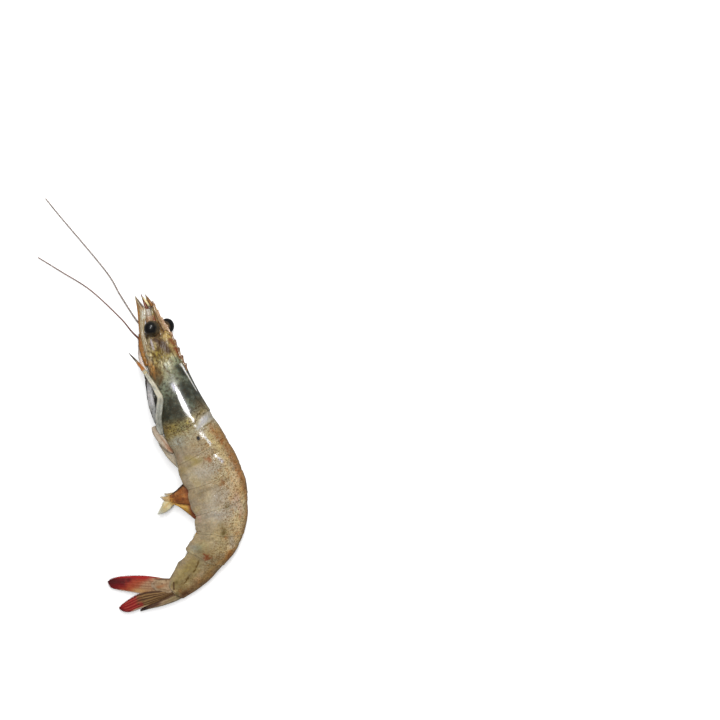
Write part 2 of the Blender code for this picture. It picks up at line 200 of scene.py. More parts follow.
grainCells = 24
grainTable = rng.random((grainCells, grainCells, grainCells)) * 2 - 1


def grain(points, size, shift=0.0):
    # soft random values from -1 to 1 in space, about one change per size
    p = np.asarray(points, float) / size + 7.3 * shift
    cell = np.floor(p).astype(int)
    f = p - cell
    f = f * f * (3 - 2 * f)
    total = 0.0
    for dx in (0, 1):
        for dy in (0, 1):
            for dz in (0, 1):
                weight = (f[..., 0] if dx else 1 - f[..., 0]) * (f[..., 1] if dy else 1 - f[..., 1])
                weight = weight * (f[..., 2] if dz else 1 - f[..., 2])
                spot = (cell + np.array([dx, dy, dz])) % grainCells
                total = total + weight * grainTable[spot[..., 0], spot[..., 1], spot[..., 2]]
    return total


def warped(points, size, strength, shift=0.0):
    p = np.asarray(points, float)
    return p + strength * np.stack([grain(p, size, shift + k) for k in (3.1, 4.7, 6.2)], -1)


def veins(points, size, shift=0.0):
    # thin winding lines
    return np.clip(1 - 4 * np.abs(grain(warped(points, 1.5 * size, 0.8 * size, shift), size, shift)), 0, 1)


# Painting: masks lay tones over each other, point by point

def layer(base, *coats):
    done = np.array(base, float)
    for mask, tone in coats:
        weight = np.clip(np.asarray(mask, float), 0, 1)[..., None]
        done = done + (np.array(tone, float) - done) * weight
    return done


def linearColour(values):
    v = np.clip(np.asarray(values, float) / 255, 0, 1)
    return np.where(v > 0.04, ((v + 0.055) / 1.055) ** 2.4, v / 12.92)


def colour(red, green, blue):
    return (*linearColour((red, green, blue)).tolist(), 1.0)


# Meshes are gathered in bags of lofts, and made pieces at the end

fieldKinds = {"paint": 3, "specks": 1, "gloss": 1, "along": 1}


def newBag():
    return {"points": [], "faces": [], "fields": {}, "count": 0}


def addLoft(bag, rings, **fields):
    # a closed tube through rings of points, with its faces outwards
    rings = np.asarray(rings, float)
    rows, columns = rings.shape[:2]
    points = rings.reshape(-1, 3)
    index = np.arange(rows * columns).reshape(rows, columns)
    near, far = index[:-1], index[1:]
    quads = np.stack([near, np.roll(near, -1, 1), np.roll(far, -1, 1), far], axis=-1).reshape(-1, 4)
    p = points[quads]
    volume = np.einsum("ij,ij->i", p[:, 0], np.cross(p[:, 1], p[:, 2]) + np.cross(p[:, 2], p[:, 3])).sum()
    for cap, turn in ((index[0], -1), (index[-1], 1)):
        q = points[cap]
        volume += turn * (np.cross(q[1:-1], q[2:]) @ q[0]).sum()
    faces = [*quads.tolist(), index[0][::-1].tolist(), index[-1].tolist()]
    if volume < 0:
        faces = [f[::-1] for f in faces]
    base = bag["count"]
    bag["faces"] += [[v + base for v in f] for f in faces]
    bag["points"].append(points)
    bag["count"] += len(points)
    for name, values in fields.items():
        size = fieldKinds[name]
        shape = (rows, columns, 3) if size == 3 else (rows, columns)
        flat = np.broadcast_to(np.asarray(values, float), shape)
        bag["fields"].setdefault(name, []).append(flat.reshape(-1, 3) if size == 3 else flat.reshape(-1))


def setFields(mesh, fields):
    for name, values in fields.items():
        if name == "paint":
            values = np.hstack([linearColour(values), np.ones((len(values), 1))])
            kind, key = "FLOAT_COLOR", "color"
        elif values.ndim == 2:
            kind, key = "FLOAT_VECTOR", "vector"
        else:
            kind, key = "FLOAT", "value"
        attribute = mesh.attributes.new(name, kind, "POINT")
        attribute.data.foreach_set(key, values.astype(np.float32).ravel())


def makePiece(bag, name, material):
    mesh = bpy.data.meshes.new(name)
    points = np.concatenate(bag["points"])
    points[:, 2] = np.maximum(points[:, 2], 0.0)  # nothing sinks into the table
    mesh.from_pydata((points * mm).tolist(), [], bag["faces"])
    setFields(mesh, {name: np.concatenate(parts) for name, parts in bag["fields"].items()})
    mesh.shade_smooth()
    mesh.materials.append(material)
    piece = bpy.data.objects.new(name, mesh)
    bpy.context.scene.collection.objects.link(piece)
    keep(piece)


def keep(piece):
    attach(piece, "root")
    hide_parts("shrimp")


def makeLoft(name, rings, fields, material):
    bag = newBag()
    addLoft(bag, rings, **fields)
    makePiece(bag, name, material)


# Shader node helpers, and the effects that the finishes share

def feed(tree, socket, value):
    if isinstance(value, bpy.types.NodeSocket):
        tree.links.new(value, socket)
    elif value is not None:
        socket.default_value = value


def addNode(tree, kind, settings=None, **sockets):
    node = tree.nodes.new(kind)
    for key, value in (settings or {}).items():
        setattr(node, key, value)
    for key, value in sockets.items():
        feed(tree, node.inputs[key.replace("_", " ")], value)
    return node


def setSockets(node, values):
    for name, value in values.items():
        node.inputs[name].default_value = value


def sums(tree, operation, a, b=None, clamp=False):
    node = addNode(tree, "ShaderNodeMath", {"operation": operation, "use_clamp": clamp})
    feed(tree, node.inputs[0], a)
    feed(tree, node.inputs[1], b)
    return node.outputs[0]


def mixColour(tree, factor, a, b):
    node = addNode(tree, "ShaderNodeMix", {"data_type": "RGBA"})
    for socket, value in zip((node.inputs[0], node.inputs[6], node.inputs[7]), (factor, a, b)):
        feed(tree, socket, value)
    return node.outputs[2]


def band(tree, value, low, high, to=(0.0, 1.0)):
    node = addNode(tree, "ShaderNodeMapRange", {"interpolation_type": "SMOOTHSTEP"}, Value=value)
    setSockets(node, {"From Min": low, "From Max": high, "To Min": to[0], "To Max": to[1]})
    return node.outputs["Result"]


def newGroup(name, inputs, outputs):
    group = bpy.data.node_groups.new(name, "ShaderNodeTree")
    for label, value in inputs:
        group.interface.new_socket(label, in_out="INPUT", socket_type="NodeSocketFloat").default_value = value
    for label in outputs:
        group.interface.new_socket(label, in_out="OUTPUT", socket_type="NodeSocketFloat")
    return group, group.nodes.new("NodeGroupInput"), group.nodes.new("NodeGroupOutput")


def objectPoint(tree):
    return tree.nodes.new("ShaderNodeTexCoord").outputs["Object"]


def speckleGroup():
    # pigment cells: small scattered dots of uneven size, gathered in clouds
    group, entry, leave = newGroup(
        "pigmentSpeckle",
        [("Dots per metre", 1400.0), ("Dot size", 0.3), ("Cloud scale", 180.0), ("Cover", 0.5)],
        ["Dots"],
    )
    where = objectPoint(group)
    cells = addNode(group, "ShaderNodeTexVoronoi", Vector=where, Scale=entry.outputs["Dots per metre"])
    own = addNode(group, "ShaderNodeSeparateColor", Color=cells.outputs["Color"]).outputs[0]
    size = sums(group, "MULTIPLY", entry.outputs["Dot size"], band(group, own, 0.0, 1.0, (0.5, 1.5)))
    dots = sums(group, "MULTIPLY", sums(group, "SUBTRACT", size, cells.outputs["Distance"]), 6.0, clamp=True)
    scale = entry.outputs["Cloud scale"]
    clouds = addNode(group, "ShaderNodeTexNoise", Vector=where, Scale=scale, Detail=3.0)
    cover = sums(group, "ADD", sums(group, "SUBTRACT", clouds.outputs["Fac"], 1.0), entry.outputs["Cover"])
    cover = sums(group, "MULTIPLY", cover, 4.0, clamp=True)
    group.links.new(sums(group, "MULTIPLY", dots, cover), leave.inputs["Dots"])
    return group


def wetGroup():
    # the uneven wet skin: a height for the bump, and where the film of water is thin
    group, entry, leave = newGroup(
        "wetSkin",
        [
            ("Fine scale", 1500.0), ("Broad scale", 240.0), ("Fine share", 0.4),
            ("Low roughness", 0.25), ("High roughness", 0.5),
        ],
        ["Height", "Roughness"],
    )
    where = objectPoint(group)
    fine = addNode(group, "ShaderNodeTexNoise", Vector=where, Scale=entry.outputs["Fine scale"], Detail=2.0)
    broad = addNode(group, "ShaderNodeTexNoise", Vector=where, Scale=entry.outputs["Broad scale"], Detail=2.0)
    part = sums(group, "MULTIPLY", fine.outputs["Fac"], entry.outputs["Fine share"])
    group.links.new(sums(group, "ADD", part, broad.outputs["Fac"]), leave.inputs["Height"])
    spread = sums(group, "SUBTRACT", entry.outputs["High roughness"], entry.outputs["Low roughness"])
    rough = sums(group, "MULTIPLY", spread, broad.outputs["Fac"])
    group.links.new(sums(group, "ADD", rough, entry.outputs["Low roughness"]), leave.inputs["Roughness"])
    return group


speckles = speckleGroup()
wetSkin = wetGroup()

# dots: how many a metre, size, cover and strength; fleck: strength; skin: fine scale, broad scale and
# share of the fine; bump: strength and distance; rough: lowest and highest; coat: its roughness;
# depth: light under the surface
finishes = {
    "carapaceShell": {
        "dots": (1250.0, 0.42, 0.95, 0.75), "fleck": 0.25, "skin": (900.0, 160.0, 0.0),
        "bump": (0.06, 0.0003), "rough": (0.34, 0.5), "coat": 0.06, "depth": 0.12, "speck": (66, 48, 22),
    },
    "somiteShell": {
        "dots": (1500.0, 0.44, 1.05, 0.6), "fleck": 0.3, "skin": (1500.0, 420.0, 0.6),
        "bump": (0.4, 0.0004), "rough": (0.42, 0.6), "coat": 0.08, "depth": 0.12, "speck": (104, 72, 22),
    },
    "eyeShell": {
        "dots": (1500.0, 0.3, 0.7, 0.3), "fleck": 0.0, "skin": (1800.0, 500.0, 0.5),
        "bump": (0.1, 0.0002), "rough": (0.35, 0.5), "coat": 0.04, "depth": 0.0, "speck": (34, 24, 16),
    },
    "limbShell": {
        "dots": (1500.0, 0.36, 0.9, 0.5), "fleck": 0.25, "skin": (1800.0, 500.0, 0.5),
        "bump": (0.35, 0.0003), "rough": (0.38, 0.6), "coat": 0.12, "depth": 0.08, "speck": (74, 54, 30),
    },
    "fanShell": {
        "dots": (1700.0, 0.36, 0.9, 0.4), "fleck": 0.0, "skin": (1800.0, 500.0, 0.5),
        "bump": (0.4, 0.0003), "rough": (0.38, 0.6), "coat": 0.12, "depth": 0.0, "speck": (60, 34, 20),
    },
}
shellSockets = {
    "Subsurface Radius": (1.0, 0.55, 0.32),
    "Subsurface Scale": 0.0016,
    "Coat IOR": 1.65,
    "IOR": 1.42,
    "Specular IOR Level": 0.25,
}
dotLayers = ((1.0, 1.0, 230.0), (1.6, 0.8, 600.0))  # shares of number and strength, cloud scale
fleckDots = (1.3, 0.24, 350.0, 0.72)  # share of the dots a metre, size, cloud scale, cover
fleckTone = (206, 198, 168)


def shellFinish(name, clear=0.0):
    values = finishes[name]
    material = bpy.data.materials.new(name + ("Clear" if clear else ""))
    material.use_nodes = True
    tree = material.node_tree
    shader = tree.nodes["Principled BSDF"]
    setSockets(shader, shellSockets)
    setSockets(shader, {"Subsurface Weight": values["depth"], "Coat Roughness": values["coat"]})
    tone = addNode(tree, "ShaderNodeAttribute", {"attribute_name": "paint"}).outputs["Color"]
    amount = addNode(tree, "ShaderNodeAttribute", {"attribute_name": "specks"}).outputs["Fac"]
    gloss = addNode(tree, "ShaderNodeAttribute", {"attribute_name": "gloss"}).outputs["Fac"]
    perMetre, size, cover, strength = values["dots"]
    coats = []
    for share, part, clouds in dotLayers:
        coats.append((perMetre * share, size, clouds, cover, strength * part, values["speck"]))
    if values["fleck"]:
        share, size, clouds, cover = fleckDots
        coats.append((perMetre * share, size, clouds, cover, values["fleck"], fleckTone))
    for *sizes, strength, speck in coats:
        dots = addNode(tree, "ShaderNodeGroup", {"node_tree": speckles})
        setSockets(dots, dict(zip(("Dots per metre", "Dot size", "Cloud scale", "Cover"), sizes)))
        weight = sums(tree, "MULTIPLY", dots.outputs["Dots"], strength)
        tone = mixColour(tree, sums(tree, "MULTIPLY", weight, amount, clamp=True), tone, colour(*speck))
    tree.links.new(tone, shader.inputs["Base Color"])
    tree.links.new(gloss, shader.inputs["Coat Weight"])
    if clear:  # thinner towards the tip
        length = addNode(tree, "ShaderNodeAttribute", {"attribute_name": "along"}).outputs["Fac"]
        tree.links.new(band(tree, length, 0.3, 1.0, (1.0, 1.0 - clear)), shader.inputs["Alpha"])
    skin = addNode(tree, "ShaderNodeGroup", {"node_tree": wetSkin})
    names = ("Fine scale", "Broad scale", "Fine share", "Low roughness", "High roughness")
    setSockets(skin, dict(zip(names, (*values["skin"], *values["rough"]))))
    bump = addNode(tree, "ShaderNodeBump", Height=skin.outputs["Height"])
    setSockets(bump, dict(zip(("Strength", "Distance"), values["bump"])))
    tree.links.new(bump.outputs["Normal"], shader.inputs["Normal"])
    tree.links.new(skin.outputs["Roughness"], shader.inputs["Roughness"])
    return material


carapaceFinish = shellFinish("carapaceShell")
somiteFinish = shellFinish("somiteShell")
limbFinish = shellFinish("limbShell")
fanFinish = shellFinish("fanShell")
clearFinish = shellFinish("limbShell", 0.35)
eyeFinish = shellFinish("eyeShell")

hairs = {  # darkest and palest tone, lowest and highest roughness, coat
    "bristle": ((150, 112, 84), (196, 168, 138), (0.4, 0.6), 0.0),
    "paleBristle": ((170, 164, 148), (208, 202, 186), (0.35, 0.5), 0.2),
    "redBristle": ((96, 26, 26), (150, 70, 60), (0.4, 0.6), 0.0),
}
hairPatches = 700.0  # how many a metre


def hairFinish(name):
    dark, pale, rough, coat = hairs[name]
    material = bpy.data.materials.new(name)
    material.use_nodes = True
    tree = material.node_tree
    shader = tree.nodes["Principled BSDF"]
    setSockets(shader, {"Coat Weight": coat, "Coat Roughness": 0.03, "Specular IOR Level": 0.12})
    noise = addNode(tree, "ShaderNodeTexNoise", Vector=objectPoint(tree), Scale=hairPatches, Detail=2.0)
    patches = noise.outputs["Fac"]
    tone = mixColour(tree, band(tree, patches, 0.35, 0.65), colour(*dark), colour(*pale))
    tree.links.new(tone, shader.inputs["Base Color"])
    tree.links.new(band(tree, patches, 0.3, 0.7, rough), shader.inputs["Roughness"])
    return material


bristleFinish = hairFinish("bristle")
paleBristleFinish = hairFinish("paleBristle")
redBristleFinish = hairFinish("redBristle")
print("finishes ready")


# Colours of the shells: tones from head to tail, then marks at a station and so far towards the back

shellTones = {
    "flank": (
        (-4, 132, 108, 70),
        (4, 176, 160, 132),
        (9, 168, 146, 104),
        (14, 144, 130, 84),
        (19, 168, 168, 148),
        (26, 76, 80, 68),
        (32, 80, 80, 62),
        (36, 148, 132, 88),
        (41, 168, 160, 132),
        (46, 160, 143, 114),
        (54, 168, 152, 124),
        (58, 172, 160, 136),
        (64, 168, 150, 118),
        (70, 174, 160, 136),
        (76, 182, 170, 150),
        (82, 178, 158, 120),
        (88, 174, 155, 114),
        (95, 146, 127, 90),
        (103, 148, 130, 88),
        (112, 142, 124, 82),
        (118, 140, 120, 82),
    ),
    "back": (
        (-4, 150, 122, 78),
        (6, 150, 128, 82),
        (13, 128, 126, 98),
        (20, 112, 118, 102),
        (27, 56, 62, 56),
        (33, 130, 124, 100),
        (37, 150, 134, 98),
        (41, 180, 174, 156),
        (47, 194, 178, 130),
        (54, 190, 170, 122),
        (66, 208, 184, 146),
        (72, 196, 162, 108),
        (77, 212, 200, 164),
        (84, 210, 180, 134),
        (90, 230, 204, 154),
        (95, 190, 144, 80),
        (103, 150, 116, 70),
        (112, 86, 48, 24),
        (118, 84, 50, 28),
    ),
    "rim": (190, 176, 140),
    "shade": (124, 104, 74),
    "edge": (172, 118, 62),
    "belly": (170, 150, 120),
    "tailGroove": (88, 66, 26),
}
markTones = {
    "umber": (84, 64, 40),
    "lilac": (186, 176, 176),
    "ochre": (166, 132, 66),
    "oliveYellow": (140, 122, 56),
    "paleGrey": (186, 184, 168),
    "rustOrange": (158, 102, 48),
    "cream": (214, 202, 158),
    "paleGreen": (168, 174, 154),
    "greyGreen": (118, 128, 106),
    "slate": (62, 68, 62),
    "deepSlate": (42, 46, 40),
    # a painted sheen: the soft lilac-white of a reflection on the wet shell
    "paintedSheen": (214, 214, 226),
    "oliveGold": (142, 124, 62),
    "chalk": (184, 183, 184),
    "shellPink": (200, 180, 158),
    "blueGrey": (158, 160, 150),
    "rust": (138, 76, 36),
    "redBrown": (120, 58, 30),
    "oliveSpot": (100, 86, 48),
    "pink": (190, 158, 138),
    "lilacGrey": (170, 162, 152),
    "black": (14, 12, 10),
    "darkUmber": (70, 48, 26),
    "sand": (186, 162, 104),
    "glint": (246, 244, 240),
}
shellMarks = (  # tone, station, towards the back, length, breadth, strength, how ragged
    ("ochre", 0.8, 5.9, 3.2, 1.3, 0.8, 0.6),
    ("ochre", 4.9, 6.2, 3.4, 1.3, 0.7, 0.6),
    ("oliveYellow", 7.6, 0.9, 4.6, 3.6, 0.85, 0.9),
    ("umber", 1.6, 3.2, 2.4, 1.3, 0.8, 0.9),
    ("umber", 5.0, 4.3, 2.8, 1.5, 0.95, 1.0),
    ("lilac", 2.2, -0.1, 2.6, 0.6, 0.8, 0.5),
    ("paleGrey", 7.9, -3.3, 1.7, 1.4, 0.75, 0.8),
    ("rustOrange", 10.7, -4.7, 3.4, 1.9, 0.7, 1.0),
    ("rustOrange", 13.4, -2.7, 2.6, 1.7, 0.6, 1.1),
    ("cream", 11.0, 0.8, 1.5, 0.5, 1.0, 0.4),
    ("cream", 6.0, -2.2, 1.0, 0.5, 0.7, 0.6),
    ("paleGreen", 13.3, 2.4, 3.0, 1.9, 0.85, 1.1),
    ("paleGrey", 11.5, 4.5, 2.2, 1.1, 0.6, 1.1),
    ("greyGreen", 11.8, 6.1, 4.2, 1.7, 0.75, 0.8),
    ("greyGreen", 16.8, 4.4, 3.2, 2.6, 0.7, 0.8),
    ("umber", 16.8, -2.6, 2.8, 2.2, 0.85, 0.8),
    ("greyGreen", 20.9, -0.9, 3.6, 2.4, 0.7, 0.6),
    ("greyGreen", 24.0, -2.1, 2.6, 1.9, 0.5, 0.6),
    ("slate", 16.2, 7.5, 2.8, 1.2, 0.9, 0.5),
    ("slate", 23.4, 8.2, 3.8, 1.5, 0.6, 0.6),
    ("slate", 27.4, 7.0, 5.0, 2.8, 0.9, 0.5),
    ("deepSlate", 27.0, 5.8, 3.8, 1.5, 0.85, 0.6),
    ("slate", 32.8, 7.3, 3.5, 2.4, 0.35, 0.6),
    ("slate", 25.0, -5.4, 4.4, 2.6, 0.75, 0.7),
    ("deepSlate", 28.0, -0.9, 3.6, 2.4, 0.9, 0.8),
    ("deepSlate", 31.0, -4.4, 2.8, 2.6, 0.9, 0.8),
    ("deepSlate", 32.8, 1.0, 2.2, 2.4, 0.7, 0.9),
    ("greyGreen", 31.0, 4.6, 2.6, 1.2, 0.5, 0.5),
    ("oliveGold", 37.4, -7.6, 2.6, 3.2, 0.8, 0.9),
    ("oliveGold", 36.7, -2.8, 2.2, 3.4, 0.8, 0.9),
    ("oliveGold", 36.8, 2.4, 1.9, 2.8, 0.7, 0.9),
    ("umber", 36.0, -7.4, 2.0, 2.6, 0.3, 1.0),
    ("greyGreen", 36.6, -0.4, 1.6, 1.8, 0.5, 1.1),
    ("chalk", 41.1, 5.9, 1.4, 1.6, 0.9, 0.5),
    ("chalk", 40.1, 8.5, 1.6, 2.1, 1.1, 0.4),
    ("blueGrey", 41.7, -4.8, 2.4, 2.9, 0.85, 0.5),
    ("oliveGold", 46.5, 5.5, 4.4, 4.0, 0.1, 0.9),
    ("lilacGrey", 47.4, -6.8, 3.0, 3.0, 0.3, 0.5),
    ("rust", 48.0, -8.2, 2.6, 1.2, 0.15, 0.8),
    ("lilacGrey", 55.6, -7.0, 2.2, 3.0, 0.3, 0.5),
    ("oliveGold", 53.8, -9.4, 2.6, 2.2, 0.3, 0.6),
    ("oliveYellow", 53.2, -3.0, 0.8, 5.0, 0.3, 0.5),
    ("rust", 54.3, 2.7, 1.1, 0.7, 0.95, 1.0),
    ("rust", 53.4, 1.4, 0.8, 0.5, 0.6, 1.0),
    ("lilacGrey", 57.6, -1.0, 2.4, 5.0, 0.45, 0.5),
    ("sand", 64.0, 3.6, 3.0, 2.4, 0.35, 0.5),
    ("rust", 64.6, 3.9, 1.3, 0.6, 0.95, 1.0),
    ("rust", 65.4, 2.5, 0.8, 0.5, 0.6, 1.0),
    ("oliveSpot", 65.8, -6.0, 1.2, 3.0, 0.3, 0.9),
    ("umber", 69.4, -7.6, 2.8, 2.6, 0.18, 0.5),
    ("lilacGrey", 69.4, -1.0, 2.6, 4.6, 0.45, 0.5),
    ("pink", 72.6, 7.3, 3.0, 2.0, 0.5, 0.5),
    ("umber", 76.4, -6.8, 2.8, 2.6, 0.14, 0.5),
    ("oliveSpot", 74.4, 3.1, 1.2, 1.1, 0.75, 1.0),
    ("lilacGrey", 77.2, -0.8, 2.4, 4.0, 0.6, 0.5),
    ("rust", 79.5, 8.1, 1.0, 0.6, 0.5, 1.0),
    ("oliveSpot", 84.0, 1.9, 1.4, 0.9, 0.9, 0.9),
    ("rust", 85.7, 3.4, 1.0, 0.6, 0.6, 1.0),
    ("lilacGrey", 88.6, 1.0, 2.2, 3.6, 0.3, 0.5),
    ("sand", 88.4, 2.6, 3.0, 2.2, 0.35, 0.5),
    ("blueGrey", 94.6, -6.4, 2.4, 1.8, 0.5, 0.5),
    ("greyGreen", 93.2, -4.6, 2.6, 2.0, 0.4, 0.5),
    ("rustOrange", 92.2, 7.4, 2.6, 1.2, 1.0, 0.7),
    ("redBrown", 95.6, 0.2, 1.3, 0.6, 1.0, 0.7),
    ("redBrown", 96.6, -0.7, 0.8, 0.45, 0.9, 0.7),
    ("oliveYellow", 104.0, -2.4, 7.0, 2.8, 0.25, 0.5),
    ("pink", 105.0, 2.8, 5.5, 1.6, 0.25, 0.5),
    ("umber", 109.0, -0.2, 3.4, 0.6, 0.3, 0.8),
    ("shellPink", 117.6, -1.4, 1.1, 2.6, 0.9, 0.7),
    ("oliveSpot", 113.0, -2.0, 1.2, 0.8, 0.6, 0.9),
    ("rust", 114.0, 1.6, 1.4, 0.6, 0.4, 0.9),
)
shellStrokes = (  # tone, station and place towards the back at both ends, breadth, strength, how ragged
    ("paleGrey", 0.3, -4.9, 6.9, -3.9, 0.45, 0.7, 0.5),
    ("black", 44.3, 3.2, 44.7, 3.2, 0.5, 3.0, 0.0),
    ("lilac", 0.4, 0.1, 4.4, 0.0, 0.42, 1.0, 0.3),
    ("darkUmber", 0.6, 1.8, 3.6, 4.0, 0.6, 1.3, 1.3),
    ("darkUmber", 3.4, 3.6, 6.6, 5.0, 1.0, 1.6, 1.3),
    ("darkUmber", 4.6, 2.0, 7.6, 3.0, 0.5, 0.9, 1.0),
    ("sand", 0.4, 5.3, 8.6, 6.9, 0.75, 0.8, 0.6),
    ("oliveYellow", 6.0, 2.8, 9.4, 3.6, 1.1, 0.6, 0.9),
    ("cream", 10.2, 1.35, 12.5, 1.0, 0.26, 1.2, 0.2),
    ("paleGrey", 12.0, 2.2, 16.0, 2.4, 0.4, 0.75, 0.9),
    ("umber", 12.4, -1.8, 14.6, -0.6, 0.6, 0.9, 0.8),
    ("umber", 16.6, -0.4, 18.8, -2.6, 0.6, 0.8, 0.8),
    ("rust", 12.0, -5.2, 16.4, -3.6, 0.4, 0.5, 0.9),
    ("redBrown", 2.4, 6.4, 5.0, 7.0, 0.4, 0.8, 0.6),
    ("redBrown", 6.4, 6.9, 10.6, 7.4, 0.45, 0.9, 0.6),
    ("deepSlate", 13.8, 6.2, 17.6, 7.2, 0.8, 0.8, 0.7),
    ("deepSlate", 21.8, 5.5, 26.4, 6.4, 1.0, 0.6, 0.6),
    ("greyGreen", 29.0, 5.9, 32.0, 6.6, 1.1, 0.5, 0.5),
    ("umber", 30.6, 8.5, 34.6, 9.4, 0.8, 0.4, 0.5),
    # painted reflection: a soft sheen where the wet streak starts, and a fainter one beside it
    ("paintedSheen", 20.6, 2.6, 23.0, 2.9, 1.0, 0.85, 0.3),
    ("paintedSheen", 24.6, 4.0, 33.0, 4.9, 0.6, 0.6, 0.3),
    ("glint", 13.0, 6.9, 14.2, 7.1, 0.22, 0.9, 0.8),
    ("glint", 39.2, 4.4, 39.6, 4.5, 0.3, 1.2, 0.4),
    ("glint", 41.6, 6.6, 42.6, 6.9, 0.22, 1.0, 0.5),
    ("glint", 43.2, 5.3, 45.0, 5.7, 0.5, 1.2, 0.9),
    ("glint", 45.6, 5.7, 49.4, 6.1, 0.4, 1.5, 0.8),
    ("glint", 54.1, 5.5, 56.2, 6.4, 0.26, 1.2, 0.3),
    # painted sheen at the end of the glints on the second plate
    ("paintedSheen", 56.2, 6.4, 57.9, 7.1, 0.55, 0.9, 0.5),
    ("oliveSpot", 37.0, 6.0, 36.4, 9.2, 0.4, 0.6, 0.6),
    ("oliveSpot", 41.9, 5.2, 42.8, 10.2, 0.35, 0.7, 0.6),
    ("oliveGold", 49.5, -5.2, 52.6, -1.2, 1.2, 0.4, 0.5),
    ("rust", 44.0, 9.4, 52.0, 10.4, 1.0, 0.5, 0.9),
    ("rust", 54.0, 10.6, 72.0, 11.2, 0.9, 0.45, 0.9),
    ("pink", 73.0, 7.2, 79.0, 8.6, 1.0, 0.5, 0.5),
    ("pink", 74.5, -9.0, 78.0, -8.4, 0.7, 0.7, 0.7),
    ("oliveSpot", 80.5, 0.4, 84.0, 2.4, 1.0, 0.45, 1.0),
    ("lilacGrey", 85.8, 5.4, 89.0, 7.0, 1.0, 0.6, 0.5),
    ("redBrown", 94.9, -1.7, 95.5, 0.9, 0.32, 0.9, 0.6),
    ("redBrown", 97.2, 0.3, 94.8, 1.7, 0.38, 0.9, 0.6),
    ("darkUmber", 113.9, -2.7, 115.8, -0.6, 0.3, 0.9, 1.0),
    ("darkUmber", 116.8, -3.6, 117.2, -2.8, 0.4, 1.0, 0.6),
    ("oliveSpot", 116.2, 1.4, 116.9, 2.6, 0.5, 0.8, 0.6),
)
wetLine = (  # station, how far towards the back the wet streak lies, its breadth and strength
    (20.0, 2.6, 0.9, 0.0),
    (21.0, 2.7, 1.0, 0.3),
    (23.2, 3.0, 1.1, 0.5),
    (24.2, 3.2, 1.3, 1.0),
    (31.4, 4.1, 1.2, 1.0),
    (34.0, 4.4, 0.8, 1.0),
    (36.0, 4.65, 0.45, 1.0),
    (38.0, 4.85, 0.3, 1.0),
    (38.8, 4.9, 0.5, 0.2),
    (42.6, 5.2, 0.6, 0.1),
    (43.4, 5.3, 0.8, 0.7),
    (45.4, 5.6, 0.8, 0.7),
    (49.4, 6.2, 0.6, 0.6),
    (50.8, 6.4, 0.5, 0.1),
    (53.6, 5.4, 0.6, 0.5),
    (57.8, 7.1, 0.7, 0.6),
    (58.8, 7.2, 0.6, 0.0),
)
rightShift = 0.9  # how much further forward the marks lie on the right side


def tableTone(name, station):
    return np.stack([tabled(shellTones[name], station, k) for k in (1, 2, 3)], -1)


